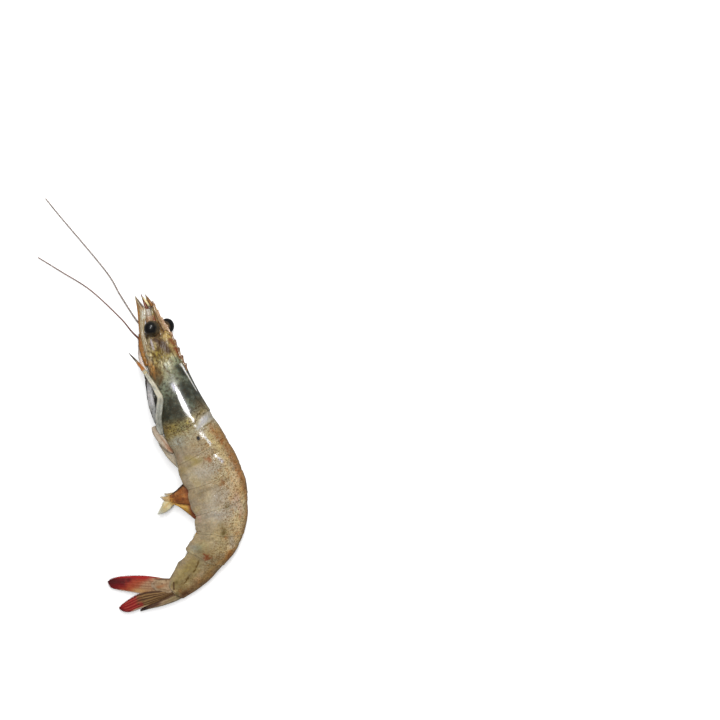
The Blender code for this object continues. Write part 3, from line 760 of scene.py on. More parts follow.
def paintShell(station, back, left, half, rim, front):
    side = np.where(left < 0, 1.0, 0.0)
    moved = station + rightShift * side
    drawn = station - 0.42 * np.minimum(station, 18)  # the head's patches are longer than wide
    spot = warped(np.stack([drawn + 40 * side, back, left], -1), 1.9, 0.7)
    wide, small, fine = grain(spot, 3.2), grain(spot, 1.0, 1.0), grain(spot, 0.42, 2.0)
    dark, pale = veins(spot, 1.4, 4.0), veins(spot, 1.0, 9.0)
    share = back / half
    tone = tableTone("flank", station)
    tone = tone + (tableTone("back", station) - tone) * ramp(share + 0.1 * wide, 0.35, 0.8)[..., None]
    tail = ramp(station, 42, 50)
    tone = layer(
        tone,
        (ramp(share + 0.05 * small, 0.82, 1.0) * tail * 0.75, shellTones["edge"]),
        (ramp(-share, 0.4, 0.9) * tail * 0.7, shellTones["belly"]),
        (ramp(wide, 0.1, 0.6) * tail * 0.4, (182, 164, 116)),
        (ramp(-wide, 0.1, 0.6) * tail * 0.35, (162, 152, 136)),
        (ramp(small, 0.2, 0.7) * ramp(share, 0.1, 0.5) * tail * 0.35, (182, 128, 72)),
    )
    rough = 2.1 - ramp(station, 9, 17) * 0.8 - ramp(station, 36, 42) * 0.8
    uneven = 0.7 * small + 0.5 * fine + 0.3 * wide
    for name, s, b, length, breadth, strength, ragged in shellMarks:
        away = ((moved - s) / length) ** 2 + ((back - b) / breadth) ** 2
        near = strength * np.exp(-away) * (1 + ragged * uneven)
        tone = layer(tone, (near, markTones[name]))
    light = 1 + rough * (0.10 * wide + 0.13 * small + 0.12 * fine)
    tone = tone * light[..., None]
    head = 1 - 0.85 * ramp(station, 9, 17)
    gills = hill(station, 18, 33.5, 2)
    tone = layer(
        tone,
        (head * ramp(fine, 0.3, 0.8) * 0.5, (176, 138, 58)),
        (head * ramp(-fine, 0.3, 0.9) * 0.45, (74, 54, 28)),
        (head * pale * 0.6, (204, 192, 150)),
        (head * dark * 0.75, (66, 44, 22)),
        (gills * ramp(small, 0.2, 0.7) * 0.3, (132, 136, 118)),
        (gills * ramp(-small, 0.1, 0.6) * 0.5, (44, 46, 34)),
        (gills * dark * 0.4, (34, 36, 28)),
        (rim * 0.4, shellTones["rim"]),
        # painted shade at the front of each plate
        (front * 0.05, shellTones["shade"]),
    )
    over = np.where(left < 0, 2 * half - back, back)
    for name, s0, b0, s1, b1, breadth, strength, ragged in shellStrokes:
        s, away = moved - s0, np.inf
        for b in (back - b0, over - b0):  # mirrored, and carried on over the ridge
            run = np.clip((s * (s1 - s0) + b * (b1 - b0)) / ((s1 - s0) ** 2 + (b1 - b0) ** 2), 0, 1)
            away = np.minimum(away, np.hypot(s - run * (s1 - s0), b - run * (b1 - b0)) / breadth)
        near = strength * np.exp(-(away**2)) * (1 + ragged * uneven)
        tone = layer(tone, (near, markTones[name]))
    flat = ramp(station, 40, 46) * (1 - ramp(share + 0.15 * wide, -0.25, 0.3))
    specks = (0.45 + 0.55 * ramp(station, 31, 35) - 0.3 * ramp(station, 97, 104)) * (1 - 0.75 * flat)
    chalky = hill(station, 38.6, 42.4, 0.4) * ramp(back, 3.8, 4.6)
    specks = specks * (1 - 0.8 * chalky) * ramp(tone.mean(-1), 25, 45)
    level, breadth, strength = (tabled(wetLine, station, k) for k in (1, 2, 3))
    gloss = 0.06 + strength * np.exp(-(((back - level) / breadth) ** 4))
    return {"paint": np.clip(tone, 0, 255), "specks": specks, "gloss": gloss}


# Shell plates: closed barrels whose rear edge is a lip over the next plate

plates = {
    "columns": 200,
    "pitch": 0.27,
    "step": 0.15,  # how far a plate rises towards its rear edge
    "lastStep": 0.12,
    "underStep": (-0.16, 0.4),  # how deep a plate starts under the one before it, and its slope there
    "endDome": ((0.5, -0.25), (1.0, -0.9), (1.3, -1.9), (1.45, -2.8)),
    "carapaceStep": 0.3,
    "groove": 4.0,  # the belly's depth and its share of half the width
    "grooveWidth": 0.62,
    "lip": ((0.07, -0.04), (0.12, -0.14), (0.06, -0.26), (-0.5, -0.40), (-1.8, -0.5)),
    "tuck": 1.5,
    "tailGroove": ((98.8, -0.2), (101.6, -0.1), (104.3, 0.02), (107.4, 0.02), (111.0, 0.13)),
    "lobes": (  # how far the plates' lower edges hang below the body
        (38, 0.5), (41, 0.3), (44.6, -0.7), (48, -0.6), (50.6, 0.1),
        (53, 1.2), (56.6, 1.5), (60, 1.2), (62.6, 0.1),
        (65, 1.2), (68.6, 1.5), (72, 1.2), (74.6, 0.1),
        (77, 1.2), (80, 1.5), (83, 1.2), (85.2, 0.1),
        (87.5, 1.1), (91, 1.6), (94.6, 2.5), (97.3, 2.2), (98, 1.3),
        (102, 1.3), (107, 0.8), (112, 0.2), (118, 0.0),
    ),
}


def unitSection(station, columns):
    # the outline over half the depth and half the width, in even steps from the back round by the left side
    depth, width = smooth(bodyLine["girth"], station) / 2, smooth(bodyLine["girth"], station, 2) / 2
    widest, flat, sharp = (smooth(bodyLine["sections"], station, k) for k in (1, 2, 3))
    bellyFlat, bellySharp = bodyLine["bellySection"]
    c = np.cos(np.linspace(0, np.pi, bodyLine["sectionSteps"]))[None, :]
    upper = np.clip((c - widest) / (1 - widest), 0, 1)
    lower = np.clip((widest - c) / (1 + widest), 0, 1)
    left = np.where(c > widest, (1 - upper**flat) ** sharp, (1 - lower**bellyFlat) ** bellySharp)
    c = c + 0 * left
    backs = np.concatenate([c, c[:, -2::-1]], axis=1)
    lefts = np.concatenate([left, -left[:, -2::-1]], axis=1)
    steps = np.hypot(np.diff(backs * depth, axis=1), np.diff(lefts * width, axis=1))
    reach = np.concatenate([np.zeros((len(steps), 1)), np.cumsum(steps, axis=1)], axis=1)
    outB, outL = np.empty((len(steps), columns)), np.empty((len(steps), columns))
    for k in range(len(steps)):
        spots = np.linspace(0, reach[k, -1], columns, endpoint=False)
        outB[k], outL[k] = np.interp(spots, reach[k], backs[k]), np.interp(spots, reach[k], lefts[k])
    return outB, outL


def slanted(station, c):
    # stations that lie back on the back, the flanks and the belly, as the plates' edges do
    columns = [smooth(bodyLine["slants"], station, k) for k in (1, 2, 3)]
    toward = np.where(c > 0, columns[0], columns[2])
    return station + columns[1] + (toward - columns[1]) * np.abs(c) ** 1.5


def hull(station, c, s, lift, lobe, groove):
    # a lifted section with its lower edges hanging and its belly pushed in
    depth, width = smooth(bodyLine["girth"], station) / 2, smooth(bodyLine["girth"], station, 2) / 2
    back, left = (depth + lift) * c, (width + lift) * s
    low = np.maximum(-c, 0)
    back = back - lobe * low**1.5
    inner = np.maximum(1 - (left / (plates["grooveWidth"] * width)) ** 2, 0)
    return back + groove * inner * low, left, depth


def ripple(station, angle, k=0.0):
    # slow unevenness of the shell, so that the light on it breaks up
    a = np.sin(station * 0.83 + 2.0 * np.cos(angle * 2 + k)) * np.sin(angle * 5 + station * 0.21 + k)
    b = np.sin(station * 1.9 + 3.0 * np.sin(angle * 3 + k)) * np.sin(angle * 9 - station * 0.37)
    return 0.6 * a + 0.4 * b


def along(path, station, c, breadth):
    # a line on the shell that fades at both ends: stations, and how high it lies from the belly to the back
    begin, end = path[0][0], path[-1][0]
    window = ramp(station, begin - 1.2, begin + 1.2) * (1 - ramp(station, end - 1.5, end + 1.5))
    return line(c, tabled(path, station), breadth) * window


# Heights come first, then places and breadths. A place is a share of the plate's length, or a level from
# -1 at the belly to 1 at the back.
somiteValues = {
    "fold": (-0.16, 0.26, 0.05),
    "swell": 0.16,
    "crease": (-0.22, -0.52, 0.07),
    "hinge": (0.3, 0.1, 0.07, -0.2, 0.12),
    "rim": (0.07, 0.94, 0.98),
    "uneven": (0.03, 0.03, 0.12, 0.12, 0.12),
    "tailGroove": (-0.24, 0.08),
    "tailCrease": (-0.2, -0.5, 0.08),
    "tailKeel": (0.35, 0.12),
    "tailUneven": 0.08,
}


def somiteRelief(share, c, angle, station, k):
    values = somiteValues
    upper = ramp(c, -0.75, -0.45)
    bow = np.sin(np.pi * np.clip(share, 0, 1))
    height, spot, breadth = values["fold"]
    d = height * line(share, spot, breadth) * upper
    d = d + values["swell"] * np.sin(np.pi * ramp(share, spot, 1.0)) * upper
    height, level, breadth = values["crease"]
    d = d + height * line(c, level, breadth) * bow**0.5
    height, spot, length, level, breadth = values["hinge"]
    d = d + height * line(share, spot, length) * line(c, level, breadth)
    height, begin, end = values["rim"]
    return d + height * ramp(share, begin, end) + values["uneven"][k] * ripple(station, angle, k) * bow


def tailRelief(share, c, angle, station):
    values = somiteValues
    height, breadth = values["tailGroove"]
    d = height * along(plates["tailGroove"], station, c, breadth)
    height, level, breadth = values["tailCrease"]
    d = d + height * line(c, level, breadth) * ramp(share, 0.1, 0.3) * (1 - ramp(share, 0.8, 0.95))
    height, breadth = values["tailKeel"]
    d = d + height * line(np.abs(np.sin(angle)), 0, breadth) * (c > 0) * ramp(share, 0.1, 0.3)
    return d + values["tailUneven"] * ripple(station, angle, 3.0) * np.sin(np.pi * np.clip(share, 0, 1))


def somite(k, start):
    length = bodyLine["somites"][k]
    last = k == len(bodyLine["somites"]) - 1
    count = int(length / plates["pitch"]) + 1
    share = np.concatenate([np.linspace(-plates["tuck"] / length, 0, 5)[:-1], np.linspace(0, 1, count)])
    step = plates["lastStep" if last else "step"]
    under, slope = plates["underStep"]
    lift = np.where(share < 0, under + slope * share, step * share)
    station = start + share * length
    for forward, drop in plates["endDome" if last else "lip"]:
        station = np.append(station, start + length + forward)
        lift = np.append(lift, step + drop)
        share = np.append(share, 1.0)
    station, lift, share = station[:, None], lift[:, None], share[:, None]
    c, s = unitSection(station, plates["columns"])
    angle = np.arctan2(s, c)
    inside = np.clip(share, 0, 1)
    lobe = smooth(plates["lobes"], start + inside * length)
    groove = plates["groove"] * (np.maximum(1 - inside * 2, 0) if last else 1.0)
    relief = tailRelief(share, c, angle, station) if last else somiteRelief(share, c, angle, station, k)
    back, left, half = hull(station, c, s, lift + relief, lobe, groove)
    rim = ramp(share, 0.955, 0.985) * (0.55 + 0.45 * np.sin(angle * 7 + k)) * (0.0 if last else 1.0)
    # painted shade where a plate starts under the lip of the one before
    front = (1 - ramp(share, 0.0, 0.07)) * (0.6 + 0.4 * np.sin(angle * 5 + 2 * k))
    fields = paintShell(station + 0 * c, back, left, half, rim, front)
    if last:
        spot = warped(np.stack([station + 0 * c, back, left], -1), 1.2, 0.5)
        crack = along(plates["tailGroove"], station, c + 0.05 * grain(spot, 1.1), 0.05)
        crack = crack * ramp(grain(spot, 1.6), -0.7, 0.0)
        fields["paint"] = layer(fields["paint"], (crack, shellTones["tailGroove"]))
    return place(slanted(station, c), back, left), fields


start = bodyLine["carapace"]
for k, length in enumerate(bodyLine["somites"]):
    makeLoft(f"somite{k + 1}", *somite(k, start), somiteFinish)
    start += length
print("somites made")

carapaceValues = {
    "front": (  # how far back the front edge lies, by degrees from the back: the eye's notch, then the cheek
        (0, -1.2), (18, -1.6), (32, -0.8), (48, 0.5), (64, 0.5), (78, -1.2),
        (92, -2.0), (108, -1.0), (135, 0.8), (165, 3.0), (180, 3.4),
    ),
    "wall": (  # the front edge turned in: how far back, and how far under the shell
        (2.6, -0.5), (1.2, -0.42), (0.12, -0.36), (-0.1, -0.2), (-0.06, -0.06),
    ),
    "lines": (  # height, breadth and path: neck groove, side groove, eye ridge, gill groove
        (-0.34, 0.1, ((9.0, -0.15), (12.0, 0.1), (15.0, 0.42), (17.5, 0.78))),
        (-0.3, 0.08, ((4.0, -0.22), (8.0, -0.3), (12.0, -0.34), (16.0, -0.42))),
        (0.16, 0.06, ((1.0, 0.5), (4.0, 0.42), (8.0, 0.36))),
        (-0.04, 0.16, ((18.0, 0.3), (24.0, 0.36), (30.0, 0.4), (36.5, 0.44))),
    ),
    "ridgeGroove": (-0.3, 0.955, 0.02),  # height, how high it lies from the belly to the back, and breadth
    "lowerRim": (0.25, -0.93, 0.04),
    "lumps": 0.16,
    "rearRim": 0.06,
    "uneven": 0.006,
    "crest": ((13.0, 1.7), (28.0, 0.6)),  # a thin wet keel beside the ridge, painted with a highlight: station, and how far left
    "crestSize": (0.12, 0.38),
}


def carapace():
    values = carapaceValues
    length = bodyLine["carapace"]
    count = int(length / plates["pitch"]) + 1
    station = np.linspace(0, length, count)
    lift = plates["carapaceStep"] * (station / length) ** 2
    wall, lip = np.array(values["wall"]), np.array(plates["lip"])
    front = np.concatenate([wall[:, 0], np.zeros(count + len(lip))])
    station = np.concatenate([np.zeros(len(wall)), station, length + lip[:, 0]])
    lift = np.concatenate([wall[:, 1], lift, plates["carapaceStep"] + lip[:, 1]])
    station, lift, front = station[:, None], lift[:, None], front[:, None]
    c, s = unitSection(station, plates["columns"])
    angle = np.arctan2(s, c)
    spot = np.stack([station + 0 * c, 8 * c, 8 * s], -1)
    d = sum(height * along(path, station, c, breadth) for height, breadth, path in values["lines"])
    height, level, breadth = values["ridgeGroove"]
    d = d + height * line(c, level, breadth) * (1 - ramp(station, 15, 20))
    height, level, breadth = values["lowerRim"]
    d = d + height * line(c, level, breadth) * ramp(station, 4, 10)
    lumps = grain(warped(spot, 1.9, 0.7), 1.3, 3.0) * hill(station, 1.5, 13, 1.5) * ramp(c, -0.8, -0.5)
    d = d + values["lumps"] * lumps + values["rearRim"] * ramp(station, 36.2, 37.4)
    d = d + values["uneven"] * ripple(station, angle, 1.0) * ramp(station, 2, 8)
    rise, breadth = values["crestSize"]
    begin, end = values["crest"][0][0], values["crest"][1][0]
    beside = s * smooth(bodyLine["girth"], station, 2) / 2 - tabled(values["crest"], station)
    crest = line(beside, 0, breadth) * (c > 0)
    crest = crest * ramp(station, begin, begin + 2) * (1 - ramp(station, end - 3, end))
    d = d + rise * crest
    groove = plates["groove"] * ramp(station, 0, 12)
    back, left, half = hull(station, c, s, lift + d, 0.0, groove)
    rim = ramp(station, 37.1, 37.7) * (0.4 + 0.3 * np.sin(angle * 6))
    # painted shade along the front edge, where the shell turns in
    edge = (1 - ramp(station, 0.2, 0.9)) * 0.8 + 0 * c
    upright = np.degrees(np.arccos(np.clip(c, -1, 1)))
    shift = smooth(values["front"], upright) * (1 - ramp(station, 0, 7))
    fields = paintShell(station + shift + 0 * c, back, left, half, rim, edge)
    # painted highlight: the keel is painted in the glint tone
    fields["paint"] = layer(fields["paint"], (1.5 * crest, markTones["glint"]))
    return place(slanted(station + front, c) + shift, back, left), fields


makeLoft("carapace", *carapace(), carapaceFinish)
print("carapace made")


# Geometry Nodes: a swept limb along strands of points, and bristles standing on points

def newTree(name, inputs):
    tree = bpy.data.node_groups.new(name, "GeometryNodeTree")
    tree.interface.new_socket("Geometry", in_out="INPUT", socket_type="NodeSocketGeometry")
    for label, kind, value in inputs:
        socket = tree.interface.new_socket(label, in_out="INPUT", socket_type=kind)
        if value is not None:
            socket.default_value = value
    tree.interface.new_socket("Geometry", in_out="OUTPUT", socket_type="NodeSocketGeometry")
    return tree, tree.nodes.new("NodeGroupInput"), tree.nodes.new("NodeGroupOutput")


def named(tree, name, kind="FLOAT"):
    return addNode(tree, "GeometryNodeInputNamedAttribute", {"data_type": kind}, Name=name).outputs[0]


def limbTree():
    tree, entry, leave = newTree(
        "sweptLimb",
        [
            ("Spacing", "NodeSocketFloat", 0.0004),
            ("Sides", "NodeSocketInt", 14),
            ("Ring pitch", "NodeSocketFloat", 0.001),
            ("Ring depth", "NodeSocketFloat", 0.0),
            ("Material", "NodeSocketMaterial", None),
        ],
    )
    curve = addNode(tree, "GeometryNodeMeshToCurve", Mesh=entry.outputs["Geometry"])
    even = addNode(
        tree, "GeometryNodeResampleCurve", {"mode": "LENGTH"},
        Curve=curve.outputs[0], Length=entry.outputs["Spacing"],
    )
    spot = tree.nodes.new("GeometryNodeSplineParameter")
    thick = named(tree, "thick")
    turns = sums(tree, "DIVIDE", spot.outputs["Length"], entry.outputs["Ring pitch"])
    wave = sums(tree, "SINE", sums(tree, "MULTIPLY", turns, 2 * math.pi))
    swell = sums(tree, "ADD", sums(tree, "MULTIPLY", wave, entry.outputs["Ring depth"]), 1.0)
    profile = addNode(tree, "GeometryNodeCurvePrimitiveCircle", Resolution=entry.outputs["Sides"], Radius=1.0)
    size = sums(tree, "MULTIPLY", thick, swell)
    sweep = addNode(tree, "GeometryNodeCurveToMesh", Curve=even.outputs[0], Scale=size)
    tree.links.new(profile.outputs[0], sweep.inputs["Profile Curve"])
    sweep.inputs["Fill Caps"].default_value = True
    soft = addNode(tree, "GeometryNodeSetShadeSmooth", Geometry=sweep.outputs[0])
    real = addNode(tree, "GeometryNodeRealizeInstances", Geometry=soft.outputs[0])
    material = entry.outputs["Material"]
    done = addNode(tree, "GeometryNodeSetMaterial", Geometry=real.outputs[0], Material=material)
    tree.links.new(done.outputs[0], leave.inputs[0])
    return tree


def bristleTree():
    tree, entry, leave = newTree(
        "bristlesOnPoints",
        [
            ("Root radius", "NodeSocketFloat", 0.00005),
            ("Shortest", "NodeSocketFloat", 0.7),
            ("Splay", "NodeSocketFloat", 0.25),
            ("Seed", "NodeSocketInt", 3),
            ("Material", "NodeSocketMaterial", None),
        ],
    )
    aim, reach = named(tree, "aim", "FLOAT_VECTOR"), named(tree, "reach")
    seed, radius = entry.outputs["Seed"], entry.outputs["Root radius"]
    stray = addNode(tree, "FunctionNodeRandomValue", {"data_type": "FLOAT_VECTOR"}, Seed=seed)
    setSockets(stray, {"Min": (-1, -1, -1), "Max": (1, 1, 1)})
    lean = addNode(tree, "ShaderNodeVectorMath", {"operation": "SCALE"}, Scale=entry.outputs["Splay"])
    tree.links.new(stray.outputs[0], lean.inputs[0])
    way = addNode(tree, "ShaderNodeVectorMath", {"operation": "ADD"})
    tree.links.new(aim, way.inputs[0])
    tree.links.new(lean.outputs[0], way.inputs[1])
    turn = addNode(tree, "FunctionNodeAlignRotationToVector", {"axis": "Z"}, Vector=way.outputs[0])
    share = addNode(tree, "FunctionNodeRandomValue", {"data_type": "FLOAT"}, Seed=seed)
    tree.links.new(entry.outputs["Shortest"], share.inputs[2])
    share.inputs[3].default_value = 1.0
    length = sums(tree, "MULTIPLY", reach, share.outputs[1])
    size = addNode(tree, "ShaderNodeCombineXYZ", X=radius, Y=radius, Z=length)
    hair = addNode(tree, "GeometryNodeMeshCone", Vertices=4, Radius_Top=0.15, Radius_Bottom=1.0, Depth=1.0)
    stand = addNode(
        tree, "GeometryNodeInstanceOnPoints", Points=entry.outputs["Geometry"], Instance=hair.outputs[0],
        Rotation=turn.outputs[0], Scale=size.outputs[0],
    )
    real = addNode(tree, "GeometryNodeRealizeInstances", Geometry=stand.outputs[0])
    material = entry.outputs["Material"]
    done = addNode(tree, "GeometryNodeSetMaterial", Geometry=real.outputs[0], Material=material)
    tree.links.new(done.outputs[0], leave.inputs[0])
    return tree


sweptLimb = limbTree()
bristlesOnPoints = bristleTree()


def runTree(holder, tree, values):
    # runs a node tree on a guide, and leaves a plain mesh in its place
    modifier = holder.modifiers.new("nodes", "NODES")
    modifier.node_group = tree
    sockets = {item.name: item.identifier for item in tree.interface.items_tree if item.in_out == "INPUT"}
    for label, value in values.items():
        modifier[sockets[label]] = value
    bpy.context.view_layer.update()
    graph = bpy.context.evaluated_depsgraph_get()
    mesh = bpy.data.meshes.new_from_object(holder.evaluated_get(graph))
    name = holder.name
    bpy.data.objects.remove(holder)
    mesh.name = name
    piece = bpy.data.objects.new(name, mesh)
    bpy.context.scene.collection.objects.link(piece)
    keep(piece)


def guide(name, strands, fields, joined=True):
    # a mesh of points, and of edges along each strand, that carries values for a node tree
    points = np.concatenate(strands) * mm
    points[:, 2] = np.maximum(points[:, 2], 0.0003)
    edges, first = [], 0
    for strand in strands:
        if joined:
            edges += [(first + k, first + k + 1) for k in range(len(strand) - 1)]
        first += len(strand)
    mesh = bpy.data.meshes.new(name)
    mesh.from_pydata(points.tolist(), edges, [])
    setFields(mesh, {field: np.concatenate(parts) for field, parts in fields.items()})
    holder = bpy.data.objects.new(name, mesh)
    bpy.context.scene.collection.objects.link(holder)
    return holder


def limbs(
    name, strands, thick, tones, material,
    spacing=0.4, sides=14, ringPitch=1.0, ringDepth=0.0, gloss=0.3, specks=0.6,
):
    # each strand takes its own row of tones from root to tip
    paints = []
    for strand, row in zip(strands, tones):
        t = np.linspace(0, 1, len(strand))
        stops = np.linspace(0, 1, len(row))
        paint = np.stack([np.interp(t, stops, [tone[k] for tone in row]) for k in range(3)], -1)
        paints.append(np.clip(paint * (1 + 0.12 * grain(strand, 1.2))[:, None], 0, 255))
    fields = {
        "thick": [np.asarray(t, float) * mm for t in thick],
        "paint": paints,
        "gloss": [np.full(len(s), gloss) for s in strands],
        "specks": [np.full(len(s), specks) for s in strands],
    }
    values = {
        "Spacing": spacing * mm, "Sides": sides, "Ring pitch": ringPitch * mm, "Ring depth": ringDepth,
        "Material": material,
    }
    runTree(guide(name, strands, fields), sweptLimb, values)


def bristles(name, roots, aims, reach, material, radius=0.045, shortest=0.65, splay=0.2, seed=3):
    fields = {"aim": [np.asarray(aims, float)], "reach": [np.asarray(reach, float) * mm]}
    holder = guide(name, [np.asarray(roots, float)], fields, joined=False)
    values = {
        "Root radius": radius * mm, "Shortest": shortest, "Splay": splay, "Seed": seed, "Material": material,
    }
    runTree(holder, bristlesOnPoints, values)


def segments(joints, radii, pinch=0.72):
    # a jointed limb: each segment is pinched at its joints
    points, thick = [], []
    for a, b, ra, rb in zip(joints, joints[1:], radii, radii[1:]):
        a, b = np.array(a, float), np.array(b, float)
        for t, share in ((0.0, pinch), (0.07, 0.98), (0.2, 1.08), (0.5, 0.96), (0.82, 1.04), (0.95, 1.0)):
            points.append(a + (b - a) * t)
            thick.append((ra + (rb - ra) * t) * share)
    points.append(np.array(joints[-1], float))
    thick.append(radii[-1] * 0.5)
    return np.array(points), np.array(thick)


# Sheets: flat closed shells between two edges, with ribs, for paddles, scales, leaves and flat leg segments

def sheet(
    bag, upper, lower, thick, paint,
    rows=60, columns=44, crown=0.0, ribs=(), taper=0.5, round=0.7, gloss=0.25, specks=0.5,
):
    a = evenly(through(upper, 12), rows)
    b = evenly(through(lower, 12), rows)
    t = np.linspace(0, 1, rows)
    middle, half = (a + b) / 2, (a - b) / 2
    way = np.gradient(middle, axis=0)
    normal = np.cross(way, half)
    normal /= np.linalg.norm(normal, axis=1, keepdims=True) + 1e-9
    normal *= np.sign(normal[:, 2].mean())
    angle = np.linspace(0, 2 * np.pi, columns, endpoint=False)
    u, v = np.cos(angle), np.sin(angle)
    wide = np.minimum(np.linalg.norm(half, axis=1) / 0.6, 1)  # thins where the edges meet
    high = thick / 2 * ((1 - taper * t) * wide)[:, None] * (np.sign(v) * np.abs(v) ** round)[None, :]
    for spot, height, breadth in ribs:
        rib = height * line(u, spot, breadth) * np.sign(v)
        high = high + rib[None, :] * ((1 - 0.6 * t) * wide)[:, None]
    high = high + crown * (1 - u**2)[None, :] * (np.sin(np.pi * np.clip(t, 0.04, 0.96)) * wide)[:, None]
    rings = middle[:, None, :] + half[:, None, :] * u[None, :, None] + normal[:, None, :] * high[..., None]
    tt, uu = t[:, None] + 0 * u[None, :], u[None, :] + 0 * t[:, None]
    tones = paint(tt, uu, grain(rings, 1.4), grain(rings, 0.6, 1.0))
    addLoft(bag, rings, paint=np.clip(tones, 0, 255), along=tt, gloss=gloss, specks=specks)
    way /= np.linalg.norm(way, axis=1, keepdims=True)
    out = half / (np.linalg.norm(half, axis=1, keepdims=True) + 1e-9)
    return (a, out, way, t), (b, -out, way, t)


def edgesOf(knots, widths, up=(0, 0, 1)):
    # the two edges of a strip of the given widths round a middle line
    knots = np.array(knots, float)
    way = np.gradient(knots, axis=0)
    side = np.cross(way, np.array(up, float))
    side /= np.linalg.norm(side, axis=1, keepdims=True)
    half = np.array(widths, float)[:, None] / 2
    return knots + side * half, knots - side * half


def stripOf(bag, rows, thick, paint, ribs=(), **more):
    # a strip from a table of places and widths
    knots, widths = [place(*spot) for spot, width in rows], [width for spot, width in rows]
    upper, lower = edgesOf(knots, widths, place(45, 0, 1) - place(45, 0, 0))
    return sheet(bag, upper, lower, thick, paint, 50, 36, 0.0, ribs, 0.2, 0.6, **more)


def fringe(edges, count, first, reach, lean=0.6):
    # roots and directions of bristles along the edges from a share of their length on
    roots, aims, lengths = [], [], []
    for edge, out, way, t in edges:
        for spot in first + (1 - first) * np.linspace(0, 1, count) ** 0.8:
            point, outward, forward = (
                np.array([np.interp(spot, t, values[:, axis]) for axis in range(3)])
                for values in (edge, out, way)
            )
            blend = lean + (1 - lean) * ramp(spot, 0.7, 1.0)
            roots.append(point)
            aims.append(outward * (1 - 0.6 * blend) + forward * blend)
            lengths.append(reach * (0.55 + 0.45 * ramp(spot, first, min(first + 0.2, 1.0))))
    return roots, aims, lengths


# Head: rostrum, eyes, scales and feelers

headValues = {
    "eyeRadius": {1: 2.75, -1: 2.95},
    "eyes": ((1, -4.0, 2.5, 6.0), (-1, -3.5, 3.1, -5.6)),
    "rims": {1: ((0.35, 0.0, -1.3), 3.05), -1: ((-0.75, -0.6, 2.3), 2.5)},  # stalk collars: shift, radius
    "rimTones": {1: (74, 62, 40), -1: (140, 112, 72)},
    "scaleOuter": (
        (5.5, -5.4, 4.8), (2.8, -5.2, 5.1), (-0.8, -4.6, 5.2), (-4.5, -3.8, 5.1),
        (-8.5, -2.8, 4.7), (-12.4, -1.8, 4.3), (-16.0, -1.1, 4.0), (-18.9, -0.7, 3.8),
    ),
    "scaleInner": (
        (6.7, -3.3, 5.5), (3.9, -2.5, 5.4), (-0.3, -1.9, 5.1), (-4.1, -1.5, 4.9), (-7.1, -0.2, 4.5),
        (-9.9, 1.3, 4.0), (-12.8, 1.8, 3.7), (-15.2, 1.0, 3.9), (-17.2, 0.2, 3.9), (-18.8, -0.5, 3.8),
    ),
    "ridge": (
        (-14.4, 4.5, 0.5),
        (-11.0, 4.8, 1.9),
        (-7.4, 5.4, 2.9),
        (-3.9, 6.2, 3.6),
        (0.6, 7.2, 4.0),
        (8.4, 7.7, 3.6),
        (17.0, 8.0, 3.0),
    ),
    "ridgeThick": 2.1,
    "teeth": 8,
    "toothRise": 0.85,
}


def rostrum():
    values = headValues
    ridge = values["ridge"]
    t = np.linspace(0, 1, 240)
    station = ridge[-1][0] + (ridge[0][0] - ridge[-1][0]) * t
    top, deep = smooth(ridge, station), smooth(ridge, station, 2)
    phase = (t * (values["teeth"] + 1)) % 1.0
    shape = np.where(phase < 0.82, (phase / 0.82) ** 1.6, 1 - ramp(phase, 0.82, 1.0))
    tooth = values["toothRise"] * shape * (1 - 0.6 * t) * ((t * (values["teeth"] + 1) > 0.3) & (t < 0.97))
    half = values["ridgeThick"] / 2 * (1 - 0.7 * t)
    profile = (  # share of the depth below the top, share of half the thickness
        (0.0, 0.0), (0.04, 0.2), (0.12, 0.45), (0.25, 0.6), (0.38, 0.72), (0.46, 0.66),
        (0.52, 1.0), (0.62, 1.1), (0.75, 0.9), (0.88, 0.6), (1.0, 0.3),
    )
    ring = [(d, w) for d, w in profile] + [(d, -w) for d, w in reversed(profile[1:])]
    d, w = np.array([p[0] for p in ring])[None, :], np.array([p[1] for p in ring])[None, :]
    lift = tooth[:, None] * np.where(d == 0, 1.0, np.where(d < 0.1, 0.55, 0.0))
    back = top[:, None] + lift - deep[:, None] * d
    rings = place(station[:, None] + 0 * d, back, half[:, None] * w)
    small, fine = grain(warped(rings, 1.8, 0.6), 1.2), grain(warped(rings, 1.2, 0.4), 0.5, 1.0)
    tt, dd = t[:, None] + 0 * d, d + 0 * t[:, None]
    crest = (1 - ramp(dd, 0.05, 0.22)) * hill(tt, 0.02, 0.5, 0.06)
    paint = layer(
        np.array([168, 138, 96]) + 20 * small[..., None],
        (0.8 * hill(tt, 0.42, 0.9, 0.08) * (1 - ramp(dd, 0.1, 0.4)), (196, 160, 132)),
        (0.7 * hill(tt, 0.12, 0.42, 0.08) * (1 - ramp(dd, 0.2, 0.5)), (160, 132, 84)),
        (0.6 * ramp(dd, 0.55, 0.8), (150, 116, 58)),
        (0.9 * crest * ramp(small, -0.7, 0.1), (96, 58, 36)),
        (0.6 * ramp(fine, 0.2, 0.7), (214, 188, 152)),
        (0.6 * ramp(-fine, 0.2, 0.7), (104, 66, 40)),
        (0.9 * hill(dd, 0.5, 0.72, 0.06) * hill(tt, 0.4, 0.88, 0.04) * ramp(small, -0.9, -0.1), (76, 52, 32)),
        (0.6 * ramp(tt, 0.9, 1.0), (128, 86, 66)),
    )
    bag = newBag()
    addLoft(bag, rings, paint=paint, gloss=0.7, specks=0.5)
    makePiece(bag, "rostrum", limbFinish)


rostrum()


